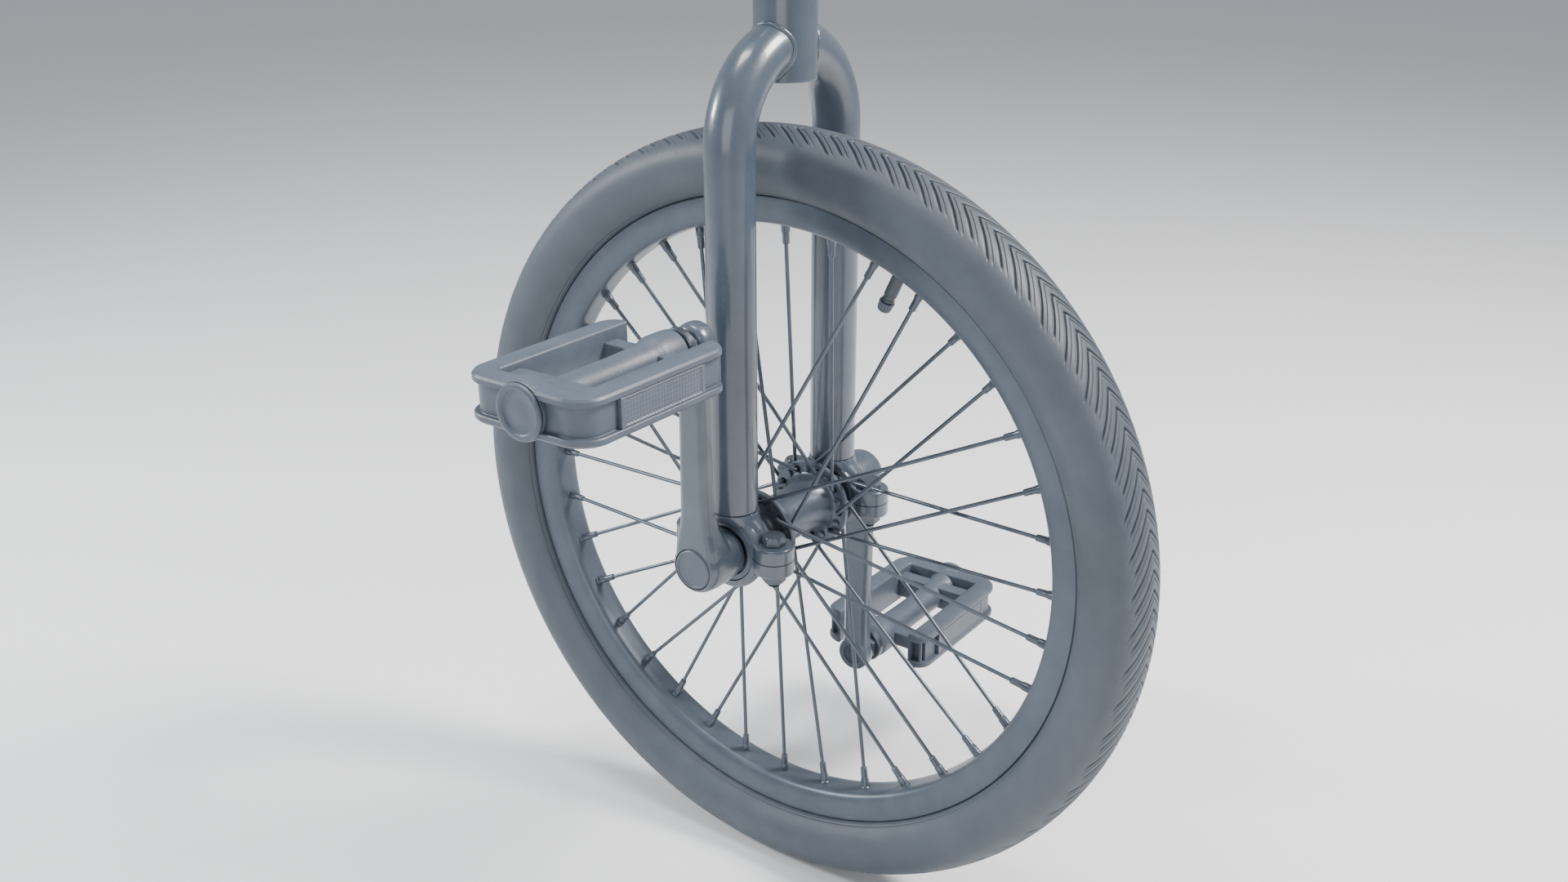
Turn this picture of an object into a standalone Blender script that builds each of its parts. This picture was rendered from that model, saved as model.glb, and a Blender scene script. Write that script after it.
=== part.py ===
"""A 20-inch unicycle, as separate solids in the places that they take when it stands upright.

Metres, +Z up. The wheel rolls along X, the axle lies along Y and the rider's left is +Y. The origin is on
the ground under the wheel's centre. Pieces that turn have their origin on the axis that they turn about.
"""

import math

import bmesh
import bpy
from mathutils import Matrix
from mathutils import Vector

MM = 0.001
GAP = 0.3 * MM  # between pieces that touch on the real object
RIGHT = -1
LEFT = 1
SIDE_NAMES = {RIGHT: "right", LEFT: "left"}

# Wheel. Radii are from the axle's centre line, and half widths from the wheel's middle plane.
WHEEL_RADIUS = 253.5 * MM
WHEEL_SEGMENTS = 36
TYRE_HALF_WIDTH = 26.0 * MM
RIM_RADIUS = 212.8 * MM
RIM_HALF_WIDTH = 13.6 * MM
RIM_INNER_RADIUS = 194.7 * MM
RIM_WALL = 2.3 * MM
BEAD_SEAT_RADIUS = 203.1 * MM
SPOKE_COUNT = 36
SPOKE_PITCH = math.radians(360 / SPOKE_COUNT)
SPOKE_RADIUS = 1.3 * MM
SPOKE_DROP_OVER_FLANGE = 1.7 * MM
NIPPLE_TIP_RADIUS = 2.0 * MM
NIPPLE_RADIUS = 2.75 * MM
NIPPLE_LENGTH = 14.0 * MM
NIPPLE_HOLE_RADIUS = 4.0 * MM
VALVE_ANGLE = math.radians(65)
VALVE_RADIUS = 4.0 * MM
VALVE_CAP_RADIUS = 4.7 * MM

# Hub and axle
HUB_BARREL_RADIUS = 16.5 * MM
FLANGE_RADIUS = 28.5 * MM
FLANGE_INNER_FACE = 28.0 * MM
FLANGE_OUTER_FACE = 32.0 * MM
SPOKE_HOLE_CIRCLE = 23.5 * MM
SPOKE_HOLE_RADIUS = 2.3 * MM
HUB_HALF_LENGTH = 38.0 * MM
AXLE_RADIUS = 8.5 * MM
AXLE_SHOULDER_RADIUS = 11.0 * MM
AXLE_HALF_LENGTH = 86.0 * MM
TAPER_ROOT = 6.5 * MM
TAPER_TIP = 6.1 * MM
TAPER_START = 63.0 * MM
ROUND_SEGMENTS = 16

# How far round the hub each spoke's hole lies from its nipple, for the even and the odd spokes of each side
LACING = {
    RIGHT: (math.radians(50), math.radians(-40)),
    LEFT: (math.radians(45), math.radians(-45)),
}

# Bearings and their clamps
BEARING_OFFSET = 54.3 * MM
BEARING_RADIUS = 20.0 * MM
BEARING_HALF_WIDTH = 6.0 * MM
INNER_RACE_RADIUS = 11.4 * MM
OUTER_RACE_BORE = 17.0 * MM
BALL_CIRCLE = 14.2 * MM
BALL_RADIUS = 2.15 * MM
BALL_COUNT = 9
CLAMP_RADIUS = 24.5 * MM
CLAMP_HALF_WIDTH = 9.0 * MM
EAR_OFFSET = 30.4 * MM
EAR_RADIUS = 11.0 * MM
EAR_HEIGHT = 9.5 * MM
BOLT_RADIUS = 3.8 * MM
BOLT_HOLE_RADIUS = 4.4 * MM
BOLT_HEAD_RADIUS = 7.5 * MM
BOLT_HEAD_HEIGHT = 5.6 * MM
NUT_HEIGHT = 6.2 * MM

# Frame
LEG_RADIUS = 15.0 * MM
LEG_BORE = 13.2 * MM
BEND_START = 246.0 * MM
BEND_RADIUS = 54.5 * MM
BEND_ANGLE = math.radians(75)
SEAT_TUBE_RADIUS = 18.85 * MM
SEAT_TUBE_BORE = 16.15 * MM
SEAT_TUBE_BOTTOM = 280.0 * MM
SEAT_TUBE_TOP = 400.0 * MM

# Cranks and pedals
CRANK_LENGTH = 142.5 * MM
CRANK_BOSS_RADIUS = 16.5 * MM
CRANK_BOSS_INNER = 63.5 * MM
CRANK_BOSS_OUTER = 95.0 * MM
CRANK_FACES = (84.0 * MM, 96.0 * MM)
CRANK_EYE_RADIUS = 12.0 * MM
CRANK_ROOT_HALF_WIDTH = 13.0 * MM
CRANK_NECK_HALF_WIDTH = 9.3 * MM
CRANK_RECESS_RADIUS = 13.3 * MM
CRANK_RECESS_FLOOR = 86.4 * MM
PEDAL_INNER = 113.3 * MM
PEDAL_BOSS_INNER = 107.5 * MM
PEDAL_OUTER = 228.8 * MM
PEDAL_HALF_WIDTH = 44.0 * MM
PEDAL_HALF_HEIGHT = 13.5 * MM
PEDAL_CORNER_RADIUS = 17.0 * MM
PEDAL_FLANGE_WIDTH = 14.5 * MM
PEDAL_FLANGE_HEIGHT = 5.0 * MM
PEDAL_RECESS = 3.0 * MM
PEDAL_CAP_RADIUS = 16.0 * MM
SPINDLE_RADIUS = 6.0 * MM
SPINDLE_BORE = 6.5 * MM
REFLECTOR_SPAN = (134.4 * MM, 201.5 * MM)

# Seat clamp and post
COLLAR_HEIGHT = 20.0 * MM
COLLAR_RADIUS = 23.5 * MM
COLLAR_MIDDLE = SEAT_TUBE_TOP - 8.0 * MM
SKEWER_OFFSET = 29.5 * MM
SKEWER_RADIUS = 2.5 * MM
COLLAR_EAR_WIDTH = 9.0 * MM
LEVER_PIVOT = 16.6 * MM
LEVER_BARREL_RADIUS = 6.5 * MM
POST_RADIUS = 15.8 * MM
POST_BORE = 13.3 * MM
POST_BOTTOM = 325.0 * MM
POST_TOP = 478.0 * MM
PLATE_THICKNESS = 4.0 * MM
PLATE_HALF_LENGTH = 48.0 * MM
PLATE_HALF_WIDTH = 19.0 * MM
SADDLE_BOLT_OFFSET = 34.0 * MM

# Saddle. It is flat in the middle and rises towards both ends.
SADDLE_HALF_LENGTH = 145.0 * MM
SADDLE_FLAT_HALF_LENGTH = 50.0 * MM
SADDLE_END_RISE = 36.0 * MM
SADDLE_BASE_THICKNESS = 5.0 * MM
SADDLE_PADDING = 44.0 * MM
SADDLE_END_PADDING = 30.0 * MM
SADDLE_WAIST = 50.0 * MM
SADDLE_FRONT_HALF_WIDTH = 59.0 * MM
SADDLE_REAR_HALF_WIDTH = 74.0 * MM
COVER_THICKNESS = 2.0 * MM

HUB_CENTRE = Vector((0, 0, WHEEL_RADIUS))
SADDLE_BASE = WHEEL_RADIUS + POST_TOP + PLATE_THICKNESS + GAP + SADDLE_BASE_THICKNESS

# Each finish is a base colour, a roughness and a metallic value.
FINISHES = {
    "rubber": ((0.055, 0.062, 0.072), 0.75, 0.0),
    "paint": ((0.20, 0.27, 0.36), 0.30, 0.2),
    "alloy": ((0.42, 0.47, 0.53), 0.30, 1.0),
    "steel": ((0.50, 0.54, 0.58), 0.25, 1.0),
    "dark_steel": ((0.16, 0.18, 0.21), 0.35, 1.0),
    "brass": ((0.62, 0.48, 0.24), 0.30, 1.0),
    "plastic": ((0.23, 0.29, 0.37), 0.45, 0.0),
    "black_plastic": ((0.05, 0.055, 0.065), 0.50, 0.0),
    "lens": ((0.55, 0.60, 0.66), 0.15, 0.0),
    "foam": ((0.30, 0.30, 0.32), 0.95, 0.0),
    "vinyl": ((0.10, 0.12, 0.15), 0.55, 0.0),
}


def clear_scene():
    for obj in list(bpy.data.objects):
        bpy.data.objects.remove(obj, do_unlink=True)


def finish(obj, name):
    """Gives the object a Principled material of its own with the named finish."""
    colour, roughness, metallic = FINISHES[name]
    made = bpy.data.materials.new(f"{obj.name}_{name}")
    made.use_nodes = True
    shader = made.node_tree.nodes["Principled BSDF"]
    shader.inputs["Base Color"].default_value = (*colour, 1)
    shader.inputs["Roughness"].default_value = roughness
    shader.inputs["Metallic"].default_value = metallic
    obj.data.materials.append(made)


def place(name, shape, location=(0, 0, 0), rotation=(0, 0, 0)):
    """Turns a bmesh into an object with smooth sides and sharp corners."""
    bmesh.ops.recalc_face_normals(shape, faces=shape.faces)
    mesh = bpy.data.meshes.new(name)
    shape.to_mesh(mesh)
    shape.free()
    mesh.shade_smooth()
    mesh.set_sharp_from_angle(angle=math.radians(35))
    obj = bpy.data.objects.new(name, mesh)
    obj.location = location
    obj.rotation_euler = rotation
    bpy.context.scene.collection.objects.link(obj)
    return obj


def piece(name, shape, look, location=(0, 0, 0), rotation=(0, 0, 0)):
    obj = place(name, shape, location, rotation)
    finish(obj, look)
    return obj


def combine(obj, shape, operation):
    """Joins a shape to the object or cuts it out, with the shape in the object's own frame."""
    helper = place(f"{obj.name}_{operation.lower()}", shape, obj.location, obj.rotation_euler)
    helper.hide_render = True
    helper.display_type = "WIRE"
    modifier = obj.modifiers.new(helper.name, "BOOLEAN")
    modifier.operation = operation
    modifier.object = helper
    return obj


def cut(obj, shape):
    return combine(obj, shape, "DIFFERENCE")


def fuse(obj, shape):
    return combine(obj, shape, "UNION")


def outward(side):
    """Turns +Z outwards along the axle. +Y then points up on the right and down on the left."""
    return (-side * math.pi / 2, 0, 0)


def upright(side):
    """Turns +Z outwards along the axle and keeps +Y pointing up on both sides."""
    return (math.pi / 2, 0, 0 if side == RIGHT else math.pi)


def circle(radius, count, height=0.0):
    angles = (2 * math.pi * i / count for i in range(count))
    return [(radius * math.cos(a), radius * math.sin(a), height) for a in angles]


def polygon(corners, radius, count, height=0.0):
    """A regular polygon with count points on it, whose corners lie at the given radius."""
    points = []
    half = math.pi / corners
    for i in range(count):
        angle = 2 * math.pi * i / count
        from_side = angle % (2 * half) - half
        reach = radius * math.cos(half) / math.cos(from_side)
        points.append((reach * math.cos(angle), reach * math.sin(angle), height))
    return points


def square(half, count, height=0.0):
    """A square with flat sides facing X and Y, with count points on it."""
    points = []
    for x, y, _ in circle(1, count):
        reach = half / max(abs(x), abs(y))
        points.append((reach * x, reach * y, height))
    return points


def loft(rings, closed=False):
    """Skins rings of equally many points. Closed joins the last ring to the first instead of capping both."""
    shape = bmesh.new()
    made = [[shape.verts.new(point) for point in ring] for ring in rings]
    following = made[1:] + made[:1] if closed else made[1:]
    for low, high in zip(made, following):
        for i in range(len(low)):
            j = (i + 1) % len(low)
            shape.faces.new((low[i], low[j], high[j], high[i]))
    if not closed:
        shape.faces.new(reversed(made[0]))
        shape.faces.new(made[-1])
    return shape


def turned(profile, segments=ROUND_SEGMENTS):
    """A capped turning about Z through (radius, height) points."""
    return loft([circle(radius, segments, height) for radius, height in profile])


def turned_ring(profile, segments=ROUND_SEGMENTS):
    """A ring about Z whose section is the closed outline of (radius, height) points."""
    return loft([circle(radius, segments, height) for radius, height in profile], closed=True)


def prism(outline, low, high):
    return loft([[(x, y, height) for x, y in outline] for height in (low, high)])


def box(low, high):
    outline = [(low[0], low[1]), (high[0], low[1]), (high[0], high[1]), (low[0], high[1])]
    return prism(outline, low[2], high[2])


def moved(shape, offset, turn=Matrix()):
    bmesh.ops.transform(shape, matrix=Matrix.Translation(offset) @ turn, verts=shape.verts)
    return shape


def gathered(shapes):
    """Several shapes that don't touch, as one."""
    whole = bmesh.new()
    for shape in shapes:
        mesh = bpy.data.meshes.new("gathered")
        shape.to_mesh(mesh)
        shape.free()
        whole.from_mesh(mesh)
        bpy.data.meshes.remove(mesh)
    return whole


def arc(radius, start, end, steps, centre=(0.0, 0.0)):
    """Points along an arc in a plane, both ends included."""
    points = []
    for i in range(steps + 1):
        angle = start + (end - start) * i / steps
        points.append((centre[0] + radius * math.cos(angle), centre[1] + radius * math.sin(angle)))
    return points


def path_frames(points):
    """Two cross directions at each point of a path, carried along it without twisting."""
    frames = []
    across = None
    for i, point in enumerate(points):
        before = (point - points[i - 1]).normalized() if i else (points[1] - point).normalized()
        after = (points[i + 1] - point).normalized() if i + 1 < len(points) else before
        along = (before + after).normalized()
        if across is None:
            across = along.orthogonal().normalized()
        across = (across - along * across.dot(along)).normalized()
        frames.append((across, along.cross(across)))
    return frames


def tube_rings(points, radii, sides):
    """A ring of points round each point of the path, turned so that a four-sided ring has flat sides."""
    rings = []
    for point, radius, (across, up) in zip(points, radii, path_frames(points)):
        ring = []
        for i in range(sides):
            angle = 2 * math.pi * (i + 0.5) / sides
            ring.append(point + radius * (math.cos(angle) * across + math.sin(angle) * up))
        rings.append(ring)
    return rings


def mirrored_profile(half):
    """The closed section whose (radius, height) points on the +Z half run from outside to inside."""
    return half + [(radius, -height) for radius, height in reversed(half) if height]


# --- Wheel ---------------------------------------------------------------------------------------------


def wheel_piece(name, shape, look):
    return piece(name, shape, look, HUB_CENTRE, (-math.pi / 2, 0, 0))


def tyre():
    seat = BEAD_SEAT_RADIUS + GAP
    crown = 4.8 * MM
    outside = [
        (WHEEL_RADIUS, 0),
        (WHEEL_RADIUS - 4.4 * MM, 0.70 * TYRE_HALF_WIDTH),
        (WHEEL_RADIUS - 13.5 * MM, 0.97 * TYRE_HALF_WIDTH),
        (WHEEL_RADIUS - 24.5 * MM, TYRE_HALF_WIDTH),
        (RIM_RADIUS + 5.7 * MM, 0.74 * TYRE_HALF_WIDTH),
        (RIM_RADIUS + 0.6 * MM, 11.0 * MM),
        (seat, 11.0 * MM),
    ]
    inside = [
        (seat, 8.6 * MM),
        (RIM_RADIUS + 1.5 * MM, 8.6 * MM),
        (WHEEL_RADIUS - 26.0 * MM, 21.5 * MM),
        (WHEEL_RADIUS - 13.5 * MM, 21.5 * MM),
        (WHEEL_RADIUS - crown, 0),
    ]
    half = outside + inside
    section = half + [(radius, -height) for radius, height in reversed(half[1:-1])]
    wheel_piece("tyre", turned_ring(section, WHEEL_SEGMENTS), "rubber")


def inner_tube():
    half = [
        (WHEEL_RADIUS - 6.5 * MM, 0),
        (WHEEL_RADIUS - 12.5 * MM, 15.5 * MM),
        (WHEEL_RADIUS - 27.0 * MM, 18.5 * MM),
        (RIM_RADIUS + 2.0 * MM, 8.0 * MM),
        (RIM_INNER_RADIUS + 5.9 * MM, 7.4 * MM),
    ]
    wheel_piece("inner_tube", turned_ring(mirrored_profile(half), WHEEL_SEGMENTS), "black_plastic")


def rim_tape():
    half = [(RIM_INNER_RADIUS + 5.2 * MM, 7.4 * MM), (RIM_INNER_RADIUS + 4.0 * MM, 7.4 * MM)]
    tape = wheel_piece("rim_tape", turned_ring(mirrored_profile(half), WHEEL_SEGMENTS), "foam")
    cut(tape, valve_hole())


def valve_hole():
    hole = turned([(VALVE_RADIUS + 2 * GAP, -12 * MM), (VALVE_RADIUS + 2 * GAP, 12 * MM)], 12)
    return moved(hole, RIM_INNER_RADIUS * spoke_direction(VALVE_ANGLE), radial_turn(VALVE_ANGLE))


def spoke_direction(angle):
    """The direction from the hub at this angle from +X towards up, in the wheel's own frame."""
    return Vector((math.cos(angle), -math.sin(angle), 0))


def radial_turn(angle):
    return spoke_direction(angle).to_track_quat("Z", "Y").to_matrix().to_4x4()


def nipple_angle(number):
    return math.pi / 2 - number * SPOKE_PITCH


def rim():
    half = [
        (RIM_INNER_RADIUS, 8.6 * MM),
        (RIM_INNER_RADIUS + 2.8 * MM, 11.2 * MM),
        (BEAD_SEAT_RADIUS - 0.6 * MM, 12.9 * MM),
        (RIM_RADIUS, RIM_HALF_WIDTH),
        (RIM_RADIUS, 11.6 * MM),
        (BEAD_SEAT_RADIUS, 11.6 * MM),
        (BEAD_SEAT_RADIUS, 8.9 * MM),
        (RIM_INNER_RADIUS + RIM_WALL, 8.0 * MM),
    ]
    made = wheel_piece("rim", turned_ring(mirrored_profile(half), WHEEL_SEGMENTS), "alloy")
    holes = []
    for number in range(SPOKE_COUNT):
        hole = turned([(NIPPLE_HOLE_RADIUS, -6 * MM), (NIPPLE_HOLE_RADIUS, 6 * MM)], 6)
        angle = nipple_angle(number)
        holes.append(moved(hole, RIM_INNER_RADIUS * spoke_direction(angle), radial_turn(angle)))
    holes.append(valve_hole())
    cut(made, gathered(holes))


def spoke_side(number):
    return LEFT if number % 4 in (0, 1) else RIGHT


def hub_angle(number):
    return nipple_angle(number) + LACING[spoke_side(number)][number % 2]


def spoke(number):
    """One spoke with its nipple: through the flange, out along its face and straight to the rim."""
    side = spoke_side(number)
    hole = SPOKE_HOLE_CIRCLE * spoke_direction(hub_angle(number))
    along_face = FLANGE_OUTER_FACE + GAP + SPOKE_RADIUS + SPOKE_DROP_OVER_FLANGE
    elbow = hole + Vector((0, 0, side * along_face))
    seat = RIM_INNER_RADIUS * spoke_direction(nipple_angle(number))
    run = (seat - elbow).normalized()
    head = hole + Vector((0, 0, side * (FLANGE_INNER_FACE + GAP)))
    tip = seat - run * NIPPLE_LENGTH
    inside_rim = seat + run * (RIM_WALL + 0.8 * MM)
    points = [head, elbow, tip, tip + run * 0.2 * MM, seat, inside_rim]
    radii = [SPOKE_RADIUS, SPOKE_RADIUS, SPOKE_RADIUS, NIPPLE_TIP_RADIUS, NIPPLE_RADIUS, NIPPLE_RADIUS]
    return loft(tube_rings(points, radii, 4))


def spokes(side):
    """The eighteen spokes of one side, joined where they cross."""
    name = f"spokes_{SIDE_NAMES[side]}"
    numbers = [number for number in range(SPOKE_COUNT) if spoke_side(number) == side]
    first = wheel_piece(name, spoke(numbers[0]), "steel")
    others = bpy.data.collections.new(f"{name}_others")
    bpy.context.scene.collection.children.link(others)
    others.hide_render = True
    for number in numbers[1:]:
        other = place(f"spoke_{number:02d}", spoke(number), HUB_CENTRE, first.rotation_euler)
        other.hide_render = True
        other.display_type = "WIRE"
        bpy.context.scene.collection.objects.unlink(other)
        others.objects.link(other)
    joint = first.modifiers.new("crossings", "BOOLEAN")
    joint.operation = "UNION"
    joint.operand_type = "COLLECTION"
    joint.collection = others


def valve():
    turn = radial_turn(VALVE_ANGLE)
    stem_foot = RIM_INNER_RADIUS + 3.4 * MM
    stem_end = RIM_INNER_RADIUS - 20.0 * MM
    cap_end = RIM_INNER_RADIUS - 27.0 * MM
    stem = turned([(VALVE_RADIUS, stem_end), (VALVE_RADIUS, stem_foot)], 12)
    wheel_piece("valve_stem", moved(stem, Vector(), turn), "brass")
    rings = [
        (3.9 * MM, cap_end),
        (VALVE_CAP_RADIUS, cap_end + 1.2 * MM),
        (VALVE_CAP_RADIUS, stem_end - GAP),
    ]
    wheel_piece("valve_cap", moved(turned(rings, 12), Vector(), turn), "black_plastic")


def hub_shell():
    bore = AXLE_RADIUS + GAP
    outside = [
        (bore, HUB_HALF_LENGTH),
        (13.5 * MM, HUB_HALF_LENGTH),
        (16.5 * MM, FLANGE_OUTER_FACE + 1.5 * MM),
        (19.0 * MM, FLANGE_OUTER_FACE),
        (FLANGE_RADIUS, FLANGE_OUTER_FACE),
        (FLANGE_RADIUS, FLANGE_INNER_FACE),
        (20.3 * MM, FLANGE_INNER_FACE),
        (17.8 * MM, 22.0 * MM),
        (HUB_BARREL_RADIUS, 13.0 * MM),
    ]
    shell = wheel_piece("hub_shell", turned_ring(mirrored_profile(outside)), "alloy")
    holes = []
    for number in range(SPOKE_COUNT):
        side = spoke_side(number)
        low = side * (FLANGE_INNER_FACE - 1 * MM)
        high = side * (FLANGE_OUTER_FACE + 0.5 * MM)
        hole = turned([(SPOKE_HOLE_RADIUS, min(low, high)), (SPOKE_HOLE_RADIUS, max(low, high))], 4)
        holes.append(moved(hole, SPOKE_HOLE_CIRCLE * spoke_direction(hub_angle(number))))
    cut(shell, gathered(holes))


def axle():
    """A round shaft with a shoulder inside each bearing, a square taper at each end and a threaded hole in it."""
    thread = 4.2 * MM
    thread_depth = 20.0 * MM
    count = ROUND_SEGMENTS
    half = [
        circle(thread, count, AXLE_HALF_LENGTH - thread_depth),
        circle(thread, count, AXLE_HALF_LENGTH),
        square(TAPER_TIP, count, AXLE_HALF_LENGTH),
        square(TAPER_ROOT, count, TAPER_START),
        circle(AXLE_RADIUS, count, TAPER_START - 2 * MM),
        circle(AXLE_RADIUS, count, BEARING_OFFSET - BEARING_HALF_WIDTH - GAP),
        circle(AXLE_SHOULDER_RADIUS, count, BEARING_OFFSET - BEARING_HALF_WIDTH - GAP),
        circle(AXLE_SHOULDER_RADIUS, count, HUB_HALF_LENGTH + GAP),
        circle(AXLE_RADIUS, count, HUB_HALF_LENGTH + GAP),
    ]
    other = [[(x, y, -z) for x, y, z in ring] for ring in reversed(half)]
    wheel_piece("axle", loft(half + other), "steel")


# --- Bearings and clamps -------------------------------------------------------------------------------


def bearing(side):
    """Inner race, outer race and the balls in their cage, turned about the axle."""
    word = SIDE_NAMES[side]
    centre = HUB_CENTRE + Vector((0, side * BEARING_OFFSET, 0))
    half = BEARING_HALF_WIDTH
    bore = AXLE_RADIUS + GAP
    inner = [(bore, half), (bore, -half), (INNER_RACE_RADIUS, -half), (INNER_RACE_RADIUS, half)]
    outer = [(OUTER_RACE_BORE, half), (OUTER_RACE_BORE, -half), (BEARING_RADIUS, -half), (BEARING_RADIUS, half)]
    piece(f"bearing_inner_race_{word}", turned_ring(inner), "steel", centre, outward(side))
    piece(f"bearing_outer_race_{word}", turned_ring(outer), "steel", centre, outward(side))
    cage = [(BALL_CIRCLE - 0.6 * MM, 1.2 * MM), (BALL_CIRCLE + 0.6 * MM, 1.2 * MM)]
    cage += [(radius, -height) for radius, height in reversed(cage)]
    balls = []
    for i in range(BALL_COUNT):
        angle = 2 * math.pi * i / BALL_COUNT
        ball = bmesh.new()
        bmesh.ops.create_uvsphere(ball, u_segments=6, v_segments=4, radius=BALL_RADIUS)
        balls.append(moved(ball, BALL_CIRCLE * spoke_direction(angle)))
    caged = piece(f"bearing_balls_{word}", turned_ring(cage, 18), "steel", centre, outward(side))
    fuse(caged, gathered(balls))


def clamp_half(name, side, up, look):
    """Half of a bearing clamp: a half ring with an ear on each side, above (up 1) or below (up -1) the split."""
    centre = HUB_CENTRE + Vector((0, side * BEARING_OFFSET, 0))
    split = up * GAP / 2
    half_ring = arc(CLAMP_RADIUS, 0, up * math.pi, ROUND_SEGMENTS // 2)
    half_ring = [(x, split if abs(y) < GAP else y) for x, y in half_ring]
    made = piece(
        name, prism(half_ring, -CLAMP_HALF_WIDTH, CLAMP_HALF_WIDTH), look, centre, upright(side)
    )
    ends = arc(EAR_RADIUS, -math.pi / 2, math.pi / 2, 8, (EAR_OFFSET, 0))
    ends += arc(EAR_RADIUS, math.pi / 2, 1.5 * math.pi, 8, (-EAR_OFFSET, 0))
    low, high = sorted((split, up * EAR_HEIGHT))
    stand = Matrix.Rotation(-math.pi / 2, 4, "X")
    fuse(made, moved(prism(ends, low, high), Vector(), stand))
    bore = BEARING_RADIUS + GAP
    cut(made, turned([(bore, -2 * CLAMP_HALF_WIDTH), (bore, 2 * CLAMP_HALF_WIDTH)]))
    holes = []
    for end in (-1, 1):
        hole = turned([(BOLT_HOLE_RADIUS, -20 * MM), (BOLT_HOLE_RADIUS, 20 * MM)], 12)
        holes.append(moved(hole, Vector((end * EAR_OFFSET, 0, 0)), stand))
    cut(made, gathered(holes))


def hex_bolt(shank_length, shank_radius=BOLT_RADIUS, head_radius=BOLT_HEAD_RADIUS, head=BOLT_HEAD_HEIGHT):
    """A hex bolt hanging from the seat of its head at Z 0, with its thread chamfered at the end."""
    return loft(
        [
            circle(0.75 * shank_radius, 12, -shank_length),
            circle(shank_radius, 12, -shank_length + 1 * MM),
            circle(shank_radius, 12, 0),
            polygon(6, head_radius, 12, 0),
            polygon(6, head_radius, 12, 0.8 * head),
            polygon(6, 0.88 * head_radius, 12, head),
        ]
    )


def hex_nut(bore, radius, height):
    """A hex nut with its top face at Z 0."""
    return loft(
        [
            circle(bore, 12, 0),
            polygon(6, radius, 12, 0),
            polygon(6, radius, 12, -height),
            circle(bore, 12, -height),
        ],
        closed=True,
    )


def clamp_fasteners(side):
    for end, place_name in ((1, "front"), (-1, "rear")):
        name = f"{place_name}_{SIDE_NAMES[side]}"
        above = HUB_CENTRE + Vector((end * EAR_OFFSET, side * BEARING_OFFSET, EAR_HEIGHT + GAP))
        below = HUB_CENTRE + Vector((end * EAR_OFFSET, side * BEARING_OFFSET, -EAR_HEIGHT - GAP))
        length = 2 * EAR_HEIGHT + NUT_HEIGHT + 3.5 * MM
        piece(f"clamp_bolt_{name}", hex_bolt(length), "steel", above)
        piece(f"clamp_nut_{name}", hex_nut(BOLT_HOLE_RADIUS, BOLT_HEAD_RADIUS, NUT_HEIGHT), "steel", below)


# --- Frame ---------------------------------------------------------------------------------------------


def fork_leg(side):
    """A round tube from the bearing clamp up and inwards over the tyre to the side of the seat tube."""
    top = BEND_START
    points = [Vector((0, side * BEARING_OFFSET, 12 * MM)), Vector((0, side * BEARING_OFFSET, 0.6 * top))]
    steps = 8
    for i in range(steps + 1):
        angle = BEND_ANGLE * i / steps
        inwards = BEARING_OFFSET - BEND_RADIUS * (1 - math.cos(angle))
        points.append(Vector((0, side * inwards, top + BEND_RADIUS * math.sin(angle))))
    outer = tube_rings(points, [LEG_RADIUS] * len(points), 16)
    inner = tube_rings(points, [LEG_BORE] * len(points), 16)
    shape = loft(outer + inner[::-1], closed=True)
    leg = piece(f"fork_leg_{SIDE_NAMES[side]}", shape, "paint", HUB_CENTRE)
    over_clamp = turned([(CLAMP_RADIUS + GAP, -40 * MM), (CLAMP_RADIUS + GAP, 40 * MM)])
    across = Matrix.Rotation(math.pi / 2, 4, "X")
    cut(leg, moved(over_clamp, Vector((0, side * BEARING_OFFSET, 0)), across))
    round_tube = SEAT_TUBE_RADIUS + GAP
    cut(leg, turned([(round_tube, SEAT_TUBE_BOTTOM - 60 * MM), (round_tube, SEAT_TUBE_TOP)]))


def seat_tube():
    section = [
        (SEAT_TUBE_RADIUS, SEAT_TUBE_TOP),
        (SEAT_TUBE_RADIUS, SEAT_TUBE_BOTTOM),
        (SEAT_TUBE_BORE, SEAT_TUBE_BOTTOM),
        (SEAT_TUBE_BORE, SEAT_TUBE_TOP),
    ]
    tube = piece("seat_tube", turned_ring(section), "paint", HUB_CENTRE)
    slot = box((-30 * MM, -1.5 * MM, SEAT_TUBE_TOP - 32 * MM), (-5 * MM, 1.5 * MM, SEAT_TUBE_TOP + 5 * MM))
    cut(tube, slot)


# --- Seat clamp and post -------------------------------------------------------------------------------


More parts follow.
